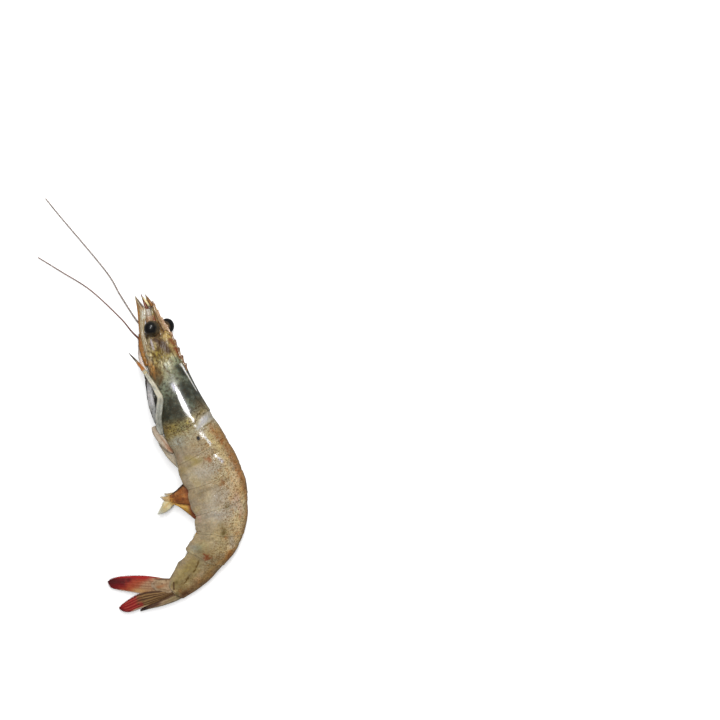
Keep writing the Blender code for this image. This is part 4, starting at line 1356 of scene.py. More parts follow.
def eyes():
    values = headValues
    bag = newBag()
    tilt = np.linspace(0.02, np.pi - 0.02, 30)[:, None]
    turn = np.linspace(0, 2 * np.pi, 52, endpoint=False)[None, :]
    ball = [np.sin(tilt) * np.cos(turn), np.sin(tilt) * np.sin(turn) * 1.1, np.cos(tilt) * 0.95 + 0 * turn]
    ball = np.stack(ball, -1)
    strands, thick, tones = [], [], []
    rims = newBag()
    for side, station, back, left in values["eyes"]:
        middle = place(station, back, left)
        rings = middle + values["eyeRadius"][side] * ball
        away = np.hypot(ball[..., 0], ball[..., 1]) + 0.2 * grain(rings, 0.8)
        paint = layer(np.full((*away.shape, 3), 5.0), (0.9 * ramp(away, 0.6, 1.0) * (side > 0), (62, 52, 34)))
        addLoft(bag, rings, paint=paint, gloss=0.25, specks=1.0)
        shift, size = values["rims"][side]
        rings = middle + np.array(shift) + size * ball
        rings = rings + 0.14 * ball * grain(rings, 0.7)[..., None]
        small, fine = grain(rings, 1.0), grain(rings * np.array([1.0, 0.5, 1.0]), 0.45, 1.0)
        paint = layer(
            np.array(values["rimTones"][side]) + 14 * small[..., None],
            (0.9 * ramp(-fine, 0.1, 0.6), (48, 34, 24)),
            (0.6 * ramp(fine, 0.2, 0.7), (168, 138, 104)),
            (0.8 * ramp(away, 0.65, 0.95) * (side < 0), (66, 50, 32)),
        )
        addLoft(rims, rings, paint=paint, gloss=0.1, specks=0.6)
        joints = [place(2.0, 1.4, side * 1.6), place(-0.5, 1.9, side * 2.6)]
        joints.append(place(station + 0.7, back, left - side * 1.3))
        strands.append(through(joints, 8))
        thick.append(np.interp(np.linspace(0, 1, len(strands[-1])), [0, 0.35, 0.7, 1], [1.2, 1.4, 1.7, 2.1]))
        tones.append(((120, 96, 62), (142, 124, 92), (112, 84, 54), (40, 28, 22)))
    makePiece(bag, "eyes", eyeFinish)
    makePiece(rims, "eyeRims", limbFinish)
    limbs("eyeStalks", strands, thick, tones, limbFinish, 0.25, 24, 1.4, 0.02)


eyes()


def headCore():
    station, t = np.linspace(7, -5.2, 50)[:, None], np.linspace(0, 1, 50)[:, None]
    angle = np.linspace(0, 2 * np.pi, 88, endpoint=False)[None, :]
    stops = [0, 0.55, 0.85, 1.0]
    high, wide = np.interp(t, stops, [5.6, 5.2, 3.6, 1.6]), np.interp(t, stops, [4.3, 3.7, 2.8, 1.2])
    rings = place(station + 0 * angle, -0.6 + high * np.cos(angle), wide * np.sin(angle))
    lump = 1 + 0.09 * grain(rings, 1.6)
    rings = place(station + 0 * angle, -0.6 + high * np.cos(angle) * lump, wide * np.sin(angle) * lump)
    small, fine = grain(rings, 1.1, 2.0), grain(rings, 0.5, 3.0)
    paint = layer(
        np.array([138, 112, 72]) + 22 * small[..., None],
        (0.6 * ramp(small, 0.1, 0.6), (176, 166, 146)),
        (0.6 * ramp(-fine, 0.2, 0.7), (86, 58, 34)),
        (0.4 * ramp(fine, 0.3, 0.8), (196, 176, 140)),
    )
    bag = newBag()
    addLoft(bag, rings, paint=paint, gloss=0.8, specks=0.6)
    makePiece(bag, "headCore", limbFinish)


headCore()


def scalePaint(t, u, small, fine):
    streaks = sum(line(u + 0.14 * small, spot, 0.09) for spot in (0.22, -0.16, -0.6))
    pale = sum(line(u + 0.14 * small, spot, 0.11) for spot in (0.03, -0.38))
    return layer(
        np.array([170, 154, 118]) + 18 * small[..., None],
        (0.8 * pale, (210, 206, 182)),
        (0.7 * streaks * (0.5 + 0.5 * ramp(fine, -0.4, 0.2)), (112, 80, 46)),
        (0.7 * hill(t, 0.6, 0.74, 0.04) * ramp(-u, -0.2, 0.2), (206, 204, 192)),
        (0.6 * hill(t, 0.75, 0.82, 0.03) * line(u, -0.3, 0.4), (196, 152, 110)),
        (0.9 * ramp(u + 0.08 * small, 0.3, 0.6) * (1 - ramp(t, 0.86, 0.97)), (162, 106, 48)),
        (0.4 * ramp(u, 0.9, 1.0) * (1 - ramp(t, 0.8, 0.95)), (110, 70, 36)),
        (0.95 * ramp(-u, 0.35, 0.8) * ramp(t, 0.74, 0.82), (58, 38, 24)),
        (0.7 * line(u, 0.1, 0.2) * hill(t, 0.78, 0.9, 0.03), (112, 72, 44)),
        (0.5 * ramp(-fine, 0.2, 0.7), (104, 74, 44)),
        (0.7 * ramp(t, 0.9, 1.0) * ramp(u, -0.3, 0.3), (178, 186, 176)),
    )


def antennalScales():
    values = headValues
    bag = newBag()
    roots, aims, lengths = [], [], []
    for side in (1, -1):
        outer, inner = onSide(values["scaleOuter"], side), onSide(values["scaleInner"], side)
        ribs = ((0.82, 0.2, 0.12), (0.35, 0.12, 0.1), (-0.2, 0.1, 0.1))
        edges = sheet(bag, outer, inner, 0.7, scalePaint, 90, 52, 0.3 * side, ribs, 0.3)
        more = fringe(edges[1:], 80, 0.5, 0.9, 0.75)
        roots, aims, lengths = roots + more[0], aims + more[1], lengths + more[2]
    makePiece(bag, "antennalScales", limbFinish)
    bristles("scaleBristles", roots, aims, lengths, bristleFinish, 0.03)


antennalScales()

feelerValues = {
    "left": (
        (-0.5, 27.4, 9.3), (-2.4, 29.2, 8.5), (-4.4, 31.3, 7.8), (-9.1, 36.4, 5.6),
        (-22.2, 48.0, 1.9), (-35.0, 56.0, 0.7), (-44.28, 61.7, 0.5),
    ),
    "right": (
        (-2.6, 35.2, 2.7), (-9.7, 45.9, 1.4), (-16.2, 56.4, 0.8), (-35.3, 79.2, 0.6), (-41.2, 86.45, 0.5),
    ),
    "stems": ((9.5, -6.4, 3.6), (6.0, -6.2, 4.0), (1.5, -5.8, 4.1), (-2.6, -5.0, 3.9)),
    "stemRadii": (1.1, 1.25, 1.2, 0.8),
    "stemRoots": ((5, -4.4, 2.8), (-1, -4.9, 3.1), (-4.0, -4.6, 3.1)),
    "stemRootRadii": (2.0, 1.7, 1.0),
    "stalks": ((2, -0.4, 2.0), (-5, 0.2, 1.9), (-9.5, 0.9, 1.7), (-12.3, 1.3, 1.5)),
    "stalkRadii": (2.1, 1.8, 1.5, 1.0),
    "rootRadius": 0.5,
    "tipRadius": 0.25,
    "ringPitch": 0.7,
    "ringDepth": 0.07,
    "leftTones": (
        (84, 42, 32), (96, 56, 46), (120, 84, 74), (128, 100, 92), (136, 112, 104), (142, 120, 112),
    ),
    "rightTones": ((120, 92, 80), (126, 108, 98), (132, 118, 110), (140, 126, 118), (146, 132, 124)),
    "stemTones": ((150, 104, 48), (168, 116, 56), (150, 92, 46)),
    "stemRootTones": ((140, 108, 66), (156, 112, 62), (140, 96, 56)),
    "stalkTones": {
        1: ((150, 130, 94), (146, 116, 84), (168, 130, 96), (190, 178, 160), (196, 190, 178)),
        -1: ((150, 130, 94), (140, 96, 66), (146, 84, 56), (150, 132, 80), (168, 160, 124)),
    },
    "feelerEnds": (  # root and tip (station, towards the back, towards the left), thickness at both, tone
        ((-11.3, 1.0, 1.4), (-19.3, -0.1, -0.2), 0.75, 0.16, (128, 76, 56)),
        ((-13.2, 2.3, 0.9), (-17.7, 0.8, 0.8), 0.5, 0.3, (240, 220, 166)),
        ((-12.8, 2.9, -0.4), (-17.4, 1.4, -1.2), 0.6, 0.16, (166, 112, 54)),
        ((-11.0, 3.0, -1.2), (-15.0, 3.0, -1.8), 0.8, 0.2, (208, 170, 140)),
        ((-11.6, 1.7, 0.4), (-16.6, 0.5, 0.0), 0.7, 0.2, (96, 50, 36)),
    ),
}


def feelers():
    values = feelerValues
    strands, thick, tones = [], [], []
    for side in (1, -1):
        for name in ("stem", "stemRoot"):
            points, radii = segments(onSide(values[name + "s"], side), values[name + "Radii"], 0.88)
            strands.append(points)
            thick.append(radii)
            tones.append(values[name + "Tones"])
    limbs("antennaStems", strands, thick, tones, limbFinish, 0.25, 20)
    strands, thick, tones = [], [], []
    for side, name in ((1, "left"), (-1, "right")):
        begin = [place(1.2, -6.0, 3.9)] if side == 1 else [place(-1.5, -5.2, -3.6), place(-4.2, -5.4, -3.6)]
        curve = through([*begin, *values[name]], 14)
        strands.append(curve)
        share = np.linspace(0, 1, len(curve))
        thick.append(values["rootRadius"] + (values["tipRadius"] - values["rootRadius"]) * share**0.6)
        tones.append(values[name + "Tones"])
    rings = values["ringPitch"], values["ringDepth"]
    limbs("antennae", strands, thick, tones, limbFinish, 0.16, 10, *rings, gloss=0.4, specks=0.0)

    strands, thick, tones, roots, aims = [], [], [], [], []
    for side in (1, -1):
        joints = onSide(values["stalks"], side)
        points, radii = segments(joints, values["stalkRadii"], 0.86)
        strands.append(points)
        thick.append(radii)
        tones.append(values["stalkTones"][side])
        for spot in np.linspace(0.15, 1.0, 90):
            k = min(int(spot * 3), 2)
            point = joints[k] + (joints[k + 1] - joints[k]) * (spot * 3 - k)
            turn = rng.uniform(0, 2 * np.pi)
            out = place(0, math.cos(turn), side * math.sin(turn)) - place(0, 0, 0)
            roots.append(point + out * 1.0)
            aims.append(out * 0.5 + (joints[k + 1] - joints[k]) / np.linalg.norm(joints[k + 1] - joints[k]))
    limbs("antennuleStems", strands, thick, tones, limbFinish, 0.25, 20)
    bristles("antennuleBristles", roots, aims, np.full(len(roots), 1.9), paleBristleFinish, 0.05, 0.5, 0.35)
    strands, thick, tones = [], [], []
    for begin, end, root, tip, tone in values["feelerEnds"]:
        half = np.add(begin, end) / 2 + np.array([0, 0.15, 0.1])
        curve = through([place(*begin), place(*half), place(*end)], 10)
        strands.append(curve)
        thick.append(np.interp(np.linspace(0, 1, len(curve)), [0, 0.6, 1], [root, 0.5 * (root + tip), tip]))
        tones.append((np.array(tone) * 0.7, tone, tone, np.array(tone) * 0.8))
    limbs("antennuleFeelers", strands, thick, tones, limbFinish, 0.12, 12, 0.5, 0.06)


feelers()
print("head made")


# Legs

legValues = {
    "table": (  # stations of hip, knee, ankle and tip, and how far the last three lie below the shell
        (14.0, 10.0, 4.0, -2.0, -0.4, -0.2, -0.6),
        (19.0, 14.5, 7.0, 0.0, 0.2, 0.2, -0.2),
        (24.0, 19.0, 11.0, 4.0, 1.0, 0.6, 0.2),
        (29.5, 24.0, 15.0, 7.0, 1.8, 1.2, 0.6),
        (35.0, 29.0, 20.0, 12.0, 2.4, 1.8, 0.8),
    ),
    "radii": (1.3, 1.25, 1.1, 0.85, 0.3),
    "bundle": (  # folded legs beside the carapace, the outer one pale: places and widths
        (
            ((34.2, -10.4, 4.6), 1.6), ((31.9, -10.2, 5.1), 2.2), ((28.6, -9.85, 5.6), 2.6),
            ((25.2, -9.5, 5.9), 2.7), ((21.6, -8.7, 5.8), 2.5),
            ((17.5, -7.8, 5.5), 2.0), ((15.0, -7.3, 5.4), 1.1),
        ),
        (
            ((34.8, -9.2, 2.8), 2.4), ((30.0, -9.2, 3.0), 2.6), ((26.0, -8.7, 3.2), 2.6),
            ((21.5, -8.0, 3.2), 2.5), ((16.0, -7.3, 3.0), 1.9),
        ),
        (
            ((36.0, -8.2, 2.4), 2.4), ((30.0, -8.0, 2.6), 2.8),
            ((24.0, -7.1, 2.8), 2.8), ((17.5, -6.1, 2.8), 2.2),
        ),
    ),
    "loose": (  # middle of the loose leg from its tip, in millimetres, with its width
        ((-4.7, 21.6, 9.0), 0.3),
        ((-1.1, 18.3, 11.6), 1.0),
        ((1.4, 15.6, 13.2), 1.5),
        ((3.5, 13.0, 14.5), 1.7),
        ((6.5, 8.9, 15.7), 1.9),
        ((9.75, 3.2, 16.5), 2.5),
        ((9.4, 0.4, 16.3), 2.85),
        ((8.5, -5.0, 14.6), 2.75),
        ((8.6, -8.8, 12.2), 2.8),
        ((9.3, -11.8, 11.0), 2.4),
    ),
    "mouth": ((14.5, -7.8, 2.6), (9.0, -8.7, 3.0), (4.6, -8.2, 3.0), (0, -7.0, 2.4), (-4, -5.8, 2.0)),
    "mouthRadii": (1.2, 1.2, 1.15, 0.9, 0.35),
    "greyTones": ((140, 138, 128), (168, 166, 156), (150, 148, 138), (176, 170, 158)),
    "darkTones": ((60, 58, 52), (66, 64, 58), (56, 52, 48), (110, 100, 88)),
}


def edgeOf(station):
    return float(smooth(bodyLine["girth"], station)) / 2


def looseLegPaint(part):
    def paint(t, u, small, fine):
        grey = layer(
            np.array([168, 168, 156]) + 18 * small[..., None],
            # painted highlight: a pale stripe near one edge
            (0.65 * line(u, 0.72, 0.25), (204, 204, 194)),
            (0.5 * line(u, -0.1, 0.25), (128, 130, 122)),
            (0.4 * ramp(np.abs(u), 0.85, 1.0), (120, 116, 98)),
            (0.5 * ramp(fine, 0.3, 0.8), (216, 212, 196)),
            (0.6 * ramp(-fine, 0.2, 0.7), (112, 108, 94)),
        )
        if part == "tip":
            grey = layer(grey, (1 - ramp(t, 0.4, 0.7), (72, 58, 44)))
            return layer(grey, (0.9 * ramp(t, 0.55, 0.8), (164, 100, 44)))
        if part == "wrist":
            grey = layer(grey, (0.95 * (1 - ramp(t, 0.3, 0.7)), (172, 106, 48)))
            return layer(grey, (0.8 * ramp(t, 0.5, 0.9), (196, 176, 128)))
        if part == "arm":  # its knee is 0.44 of the way along
            upper = 1 - ramp(t, 0.4, 0.47)
            return layer(
                grey,
                (0.7 * upper * ramp(small + 0.5 * fine, -0.8, 0.1), (216, 208, 184)),
                (0.5 * upper * ramp(-u, 0.6, 0.95), (164, 148, 118)),
                # painted shade: a darker lower edge on the arm
                (0.5 * upper * ramp(u, 0.7, 0.95), (128, 120, 92)),
                (0.8 * line(t, 0.45, 0.02) * line(u, -0.2, 0.3), (52, 48, 44)),
                (0.5 * line(t, 0.46, 0.03), (186, 180, 160)),
            )
        return grey

    return paint


def bundlePaint(t, u, small, fine):
    return layer(
        np.array([176, 174, 174]) + 14 * small[..., None],
        (0.6 * line(u, 0.4, 0.3), (208, 206, 206)),
        (0.8 * (1 - ramp(t, 0.4, 0.5)), (136, 136, 132)),
        (0.7 * ramp(-fine, 0.1, 0.6) * (1 - 0.7 * ramp(t, 0.42, 0.55)), (66, 62, 62)),
        (0.5 * ramp(t, 0.85, 1.0), (140, 118, 104)),
    )


def darkLegPaint(t, u, small, fine):
    return layer(
        np.array([62, 59, 55]) + 10 * small[..., None],
        (0.8 * (1 - ramp(t, 0.25, 0.45)), (134, 132, 124)),
        (0.6 * ramp(-fine, 0.1, 0.6), (34, 31, 28)),
        (0.3 * ramp(fine, 0.4, 0.8), (120, 114, 106)),
    )


def flatSegment(bag, knots, widths, thick, paint, closed=0.75, count=9):
    # a flattened leg segment, narrowed at both ends
    rows = evenly(np.column_stack([np.array(knots, float), widths]), count)
    t = np.linspace(0, 1, count)
    pinch = np.interp(t, [0, 0.1, 0.25, 0.6, 0.9, 1], [closed, 0.98, 1.04, 0.97, 1.02, closed])
    upper, lower = edgesOf(rows[:, :3], rows[:, 3] * pinch)
    ribs = ((0.62, 0.16, 0.2), (-0.62, 0.16, 0.2))
    sheet(bag, upper, lower, thick, paint, 36, 36, 0.0, ribs, 0.1, 0.6, specks=0.4)


def walkingLegs():
    values = legValues
    strands, thick, tones = [], [], []
    for side in (1, -1):
        for k, (hip, knee, ankle, tip, *drops) in enumerate(values["table"]):
            if side == 1 and k == 4:
                continue
            beside = side * (1.6 + 0.9 * k)
            joints = [place(hip, 3.0 - edgeOf(hip), side * 2.4)]
            joints.append(place(hip - 2.0, -drops[0] * 0.6 - edgeOf(hip - 2.0), beside))
            for station, drop, inward in zip((knee, ankle, tip), drops, (1.0, 0.9, 0.7)):
                joints.append(place(station, -drop - edgeOf(station), beside * inward))
            points, radii = segments(joints, values["radii"])
            strands.append(points)
            thick.append(radii)
            tones.append(values["greyTones"] if side == 1 and k != 3 else values["darkTones"])
            if k < 3:
                palm = joints[-1] + (joints[-2] - joints[-1]) * 0.34
                finger = joints[-1] + np.array([-0.5, 0.1, 0.5 * side])
                strands.append(np.array([palm, (palm + finger) / 2, finger]))
                thick.append(np.array([0.5, 0.36, 0.12]))
                tones.append(values["greyTones"])
    limbs("walkingLegs", strands, thick, tones, limbFinish, 0.3)

    bag = newBag()
    for k, rows in enumerate(values["bundle"]):
        stripOf(bag, rows, 1.5, darkLegPaint if k else bundlePaint, ((0.5, 0.1, 0.2),), gloss=0.03)
    knots, widths = [spot for spot, width in values["loose"]], [width for spot, width in values["loose"]]
    flatSegment(bag, knots[:3], widths[:3], 0.9, looseLegPaint("tip"))
    flatSegment(bag, knots[2:4], widths[2:4], 1.3, looseLegPaint("wrist"), 0.9)
    flatSegment(bag, knots[3:], widths[3:], 1.8, looseLegPaint("arm"), 0.85, 21)
    makePiece(bag, "nearLegs", limbFinish)


def mouthLegs():
    values = legValues
    strands, thick, tones, roots, aims = [], [], [], [], []
    for side in (1, -1):
        joints = onSide(values["mouth"], side)
        points, radii = segments(joints, values["mouthRadii"], 0.9)
        strands.append(points)
        thick.append(radii)
        tones.append(((188, 178, 170), (214, 198, 186), (216, 200, 188), (196, 176, 160), (150, 120, 90)))
        for t in np.linspace(0.2, 1.0, 70):
            spot = t * (len(joints) - 1)
            k = min(int(spot), len(joints) - 2)
            roots.append(joints[k] + (joints[k + 1] - joints[k]) * (spot - k))
            aims.append(place(0, -1, 0.4 * side) - place(0, 0, 0) + (joints[-1] - joints[0]) * 0.05)
    limbs("mouthLegs", strands, thick, tones, limbFinish, 0.3)
    bristles("mouthBristles", roots, aims, np.full(len(roots), 1.4), paleBristleFinish, 0.035)


walkingLegs()
mouthLegs()
print("legs made")


# Swimming legs

swimValues = {
    "rightLeg": (0.9, 0.8, -4.4),  # how far the right one of the pair lies from the left one
    "wedgeUpper": (
        (20.0, -31.1, 10.0), (18.6, -31.6, 10.6), (16.2, -33.8, 10.0), (14.4, -35.5, 9.0), (12.2, -37.1, 8.0),
    ),
    "wedgeLower": (
        (25.0, -41.8, 9.4), (22.9, -41.3, 9.8), (19.0, -40.9, 9.3), (15.6, -40.6, 8.6), (12.6, -40.0, 8.2),
    ),
    "shortUpper": ((13.4, -36.6, 8.5), (11.3, -37.5, 7.5), (9.5, -37.9, 6.8), (7.9, -38.0, 6.0)),
    "shortLower": ((13.4, -39.2, 8.4), (11.3, -39.9, 7.5), (9.5, -39.5, 6.8), (7.9, -38.2, 6.0)),
    "longUpper": (
        (14.0, -37.6, 7.8), (10.6, -38.9, 7.0), (9.1, -40.4, 6.4), (8.1, -42.5, 5.8), (6.5, -45.4, 5.0),
    ),
    "longLower": (
        (15.4, -40.6, 7.8), (13.3, -41.5, 7.2), (11.6, -43.3, 6.6), (9.8, -44.6, 5.8), (6.6, -45.6, 5.0),
    ),
    "hindUpper": ((12.6, -40.0, 6.9), (14.8, -40.4, 7.4), (18.8, -40.0, 8.0), (23.9, -41.4, 8.6)),
    "hindLower": (
        (12.7, -40.4, 6.8), (14.7, -40.9, 7.0), (18.2, -43.8, 6.8),
        (20.3, -45.5, 6.8), (22.9, -47.7, 7.0), (25.5, -49.5, 7.4),
    ),
    "first": (  # places and widths
        ((45.4, -9.7, 2.9), 1.4), ((43.8, -10.3, 3.5), 2.4), ((41.9, -10.9, 3.8), 3.0), ((39.7, -11.6, 3.8), 3.2),
        ((37.4, -12.3, 3.4), 3.2), ((35.6, -12.7, 3.0), 3.0), ((34.0, -12.9, 2.6), 2.0),
    ),
    "firstUnder": (
        ((53.0, -9.5, 0.6), 2.6), ((49.5, -10.5, 1.2), 3.3), ((46.2, -11.4, 1.6), 3.3),
        ((43.2, -12.0, 1.6), 3.0), ((40.5, -12.8, 1.2), 2.2), ((38.8, -13.1, 0.9), 1.2),
    ),
    "hidden": (
        ((62.0, -8.8, 2.6), (55.0, -9.8, 3.0), (49.0, -9.4, 2.6), 3.8, 2.6),
        ((62.0, -8.8, -2.6), (55.0, -9.8, -3.0), (49.0, -9.4, -2.6), 3.8, 2.6),
        ((50.0, -8.6, -3.0), (43.6, -10.4, -3.6), (37.0, -11.0, -3.0), 3.6, 3.0),
        ((82.0, -7.4, 2.2), (88.6, -8.0, 2.4), (94.6, -7.4, 2.0), 3.4, 2.6),
        ((82.0, -7.4, -2.2), (88.6, -8.0, -2.4), (94.6, -7.4, -2.0), 3.4, 2.6),
        ((92.0, -6.4, 1.9), (97.6, -6.6, 2.0), (103.0, -5.8, 1.6), 3.0, 2.4),
        ((92.0, -6.4, -1.9), (97.6, -6.6, -2.0), (103.0, -5.8, -1.6), 3.0, 2.4),
    ),
}


def wedgePaint(t, u, small, fine):
    return layer(
        np.array([160, 98, 50]) + 16 * small[..., None],
        (0.5 * ramp(small, 0.1, 0.6), (186, 128, 66)),
        (0.6 * (1 - ramp(t, 0.1, 0.34)), (122, 56, 36)),
        (0.8 * ramp(t, 0.74, 0.95) * ramp(-u, -0.6, 0.2), (204, 146, 62)),
        (0.6 * line(u + 0.1 * small, -0.25, 0.1), (112, 58, 26)),
        (0.5 * line(u + 0.1 * small, 0.3, 0.08), (106, 62, 28)),
        (0.95 * ramp(u, 0.72, 0.9), (54, 38, 20)),
        (0.6 * ramp(-fine, 0.2, 0.7), (98, 54, 26)),
    )


def shortPaint(t, u, small, fine):
    return layer(
        np.array([204, 172, 122]) + 12 * small[..., None],
        (1 - ramp(t, 0.0, 0.4), (196, 140, 62)),
        (0.8 * ramp(t, 0.6, 1.0), (216, 212, 198)),
        (0.7 * ramp(u, 0.7, 0.95), (110, 84, 56)),
    )


def longPaint(t, u, small, fine):
    return layer(
        np.array([222, 206, 160]) + 10 * small[..., None],
        (1 - ramp(t, 0.05, 0.35), (200, 142, 60)),
        (0.5 * line(u, 0.0, 0.25) * (1 - ramp(t, 0.5, 0.8)), (206, 168, 96)),
        (0.8 * ramp(t, 0.55, 0.95), (214, 216, 198)),
        (0.6 * ramp(np.abs(u), 0.8, 1.0), (226, 222, 206)),
    )


def hindPaint(t, u, small, fine):
    return layer(
        np.array([196, 146, 62]) + 14 * small[..., None],
        (0.5 * line(u, 0.2, 0.3) * hill(t, 0.2, 0.7, 0.1), (222, 186, 104)),
        (0.85 * ramp(t, 0.55, 0.8), (124, 54, 34)),
        (0.7 * ramp(-u, 0.78, 0.95), (112, 84, 60)),
        (0.5 * ramp(fine, 0.3, 0.7) * ramp(t, 0.6, 0.8), (196, 120, 84)),
    )


def firstPaint(t, u, small, fine):
    return layer(
        np.array([178, 162, 142]) + 16 * small[..., None],
        (0.7 * (1 - ramp(t, 0.16, 0.4)) * ramp(small, -0.5, 0.2), (158, 108, 76)),
        (0.5 * line(u, -0.5, 0.2), (184, 172, 152)),
        (0.6 * line(u + 0.1 * small, 0.35, 0.2) * (1 - ramp(t, 0.5, 0.8)), (146, 100, 70)),
        (0.5 * ramp(np.abs(u), 0.84, 1.0), (126, 116, 98)),
        (0.4 * ramp(-fine, 0.3, 0.8), (140, 118, 92)),
    )


def underPaint(t, u, small, fine):
    return layer(
        np.array([176, 162, 138]) + 12 * small[..., None],
        # painted highlight: a pale line along the strip
        (0.5 * line(u, -0.4, 0.2), (206, 196, 176)),
        (0.4 * ramp(np.abs(u), 0.88, 1.0), (142, 130, 108)),
    )


def swimmingLegs():
    values = swimValues
    roots, aims, lengths = [], [], []

    def addFringe(edges, count, first, reach):
        more = fringe(edges, count, first, reach, 0.7)
        for target, found in zip((roots, aims, lengths), more):
            target += found

    bag, clear = newBag(), newBag()
    for low in (0.0, 1.0):  # the left leg, then the right one below it
        def lay(name):
            return [np.add(spot, np.array(values["rightLeg"]) * low) for spot in values[name]]

        ribs = ((0.55, 0.22, 0.12), (-0.35, 0.18, 0.12))
        sheet(bag, lay("wedgeUpper"), lay("wedgeLower"), 2.0, wedgePaint, 70, 56, 0.7, ribs, 0.4)
        ribs = ((0.1, 0.12, 0.2),)
        edges = sheet(clear, lay("shortUpper"), lay("shortLower"), 0.9, shortPaint, 50, 40, 0.25, ribs)
        addFringe(edges, 40, 0.35, 1.0)
        ribs = ((0.1, 0.14, 0.2),)
        edges = sheet(clear, lay("longUpper"), lay("longLower"), 0.9, longPaint, 60, 40, 0.25, ribs)
        addFringe(edges, 60, 0.3, 1.0)
        sheet(bag, lay("hindUpper"), lay("hindLower"), 1.6, hindPaint, 60, 44, 0.4, ((0.2, 0.2, 0.2),), 0.0)
    stripOf(bag, values["first"], 1.5, firstPaint, ((0.5, 0.14, 0.2), (-0.5, 0.14, 0.2)), gloss=0.06)
    edges = stripOf(bag, values["firstUnder"], 1.2, underPaint, ((0.1, 0.16, 0.2),), gloss=0.06)
    addFringe(edges, 40, 0.5, 0.8)
    for root, joint, tip, stemWidth, paddleWidth in values["hidden"]:
        rows = [(root, stemWidth), (tuple(np.add(root, joint) / 2), stemWidth), (joint, stemWidth * 0.6)]
        stripOf(bag, rows, 1.8, wedgePaint)
        rows = [(joint, paddleWidth * 0.7), (tuple(np.add(joint, tip) / 2), paddleWidth), (tip, 0.4)]
        addFringe(stripOf(clear, rows, 0.8, longPaint), 30, 0.3, 1.2)
    makePiece(bag, "swimStems", limbFinish)
    makePiece(clear, "swimPaddles", clearFinish)
    bristles("swimBristles", roots, aims, lengths, paleBristleFinish, 0.028)


swimmingLegs()
print("swimming legs made")


# Tail fan

fanValues = {
    "outerTop": (
        (14.4, -73.0, 5.4), (12.6, -72.5, 5.6), (9.7, -72.3, 5.2), (6.7, -72.3, 4.8), (3.3, -71.8, 4.5),
        (-0.9, -71.4, 4.1), (-5.2, -71.4, 3.7), (-9.4, -71.7, 3.4), (-12.8, -72.6, 3.0), (-14.7, -73.8, 2.7),
    ),
    "outerBottom": (
        (14.6, -76.6, 5.2), (12.2, -77.3, 5.2), (8.4, -77.9, 4.9), (4.2, -78.3, 4.5), (-0.9, -78.4, 4.2),
        (-3.4, -78.1, 3.9), (-6.8, -77.6, 3.6), (-10.2, -77.1, 3.3), (-13.2, -76.2, 3.0), (-14.7, -74.0, 2.7),
    ),
    "innerTop": (
        (15.6, -76.5, 6.4), (12.7, -76.5, 6.4), (7.7, -77.0, 6.2), (3.5, -77.4, 5.8), (-0.8, -78.4, 5.4),
        (-3.3, -79.7, 4.9), (-5.9, -81.3, 4.4), (-8.5, -83.3, 3.8), (-9.8, -84.7, 3.3),
    ),
    "innerBottom": (
        (15.0, -78.2, 6.0), (12.7, -78.6, 6.0), (9.7, -80.0, 5.7), (6.8, -81.6, 5.4), (3.4, -83.1, 5.0),
        (0.0, -84.3, 4.7), (-2.1, -85.1, 4.4), (-4.3, -86.0, 4.1), (-6.8, -86.3, 3.8),
        (-9.0, -85.6, 3.5), (-9.7, -84.9, 3.3),
    ),
    "telsonTop": (
        (17.3, -74.6, 6.2), (14.8, -77.5, 6.4), (11.9, -78.8, 6.0), (8.9, -80.4, 5.4),
        (5.9, -81.8, 4.8), (2.8, -83.1, 4.2), (-0.8, -85.2, 3.4),
    ),
    "telsonBottom": (
        (19.8, -78.0, 3.6), (17.3, -79.7, 3.5), (14.4, -81.4, 3.5), (11.0, -82.7, 3.4),
        (7.3, -83.9, 3.4), (3.1, -85.0, 3.3), (-0.9, -86.2, 3.2),
    ),
    "footTop": (
        (14.6, -71.6, 6.4), (12.0, -71.9, 6.6), (9.0, -72.1, 6.3), (6.4, -72.6, 5.8), (3.9, -74.0, 5.3),
    ),
    "footBottom": (
        (14.6, -76.2, 6.6), (12.0, -77.8, 6.8), (9.0, -77.7, 6.3), (6.4, -77.2, 5.8), (3.9, -75.5, 5.2),
    ),
    "outerRibs": (  # place across, height and breadth
        (0.62, 0.16, 0.08), (0.3, 0.12, 0.07), (-0.02, 0.2, 0.08), (-0.34, 0.1, 0.07), (0.92, 0.12, 0.08),
    ),
    "innerRibs": (
        (0.5, 0.12, 0.06), (0.22, 0.12, 0.06), (-0.06, 0.2, 0.07), (-0.34, 0.12, 0.06), (-0.62, 0.1, 0.06),
    ),
    "thick": 0.8,
    "rightHalf": (2.2, 0.35, 0.5, -78, 1.7, 0.25),  # shift, closing above and below a line, drop, flattening
}


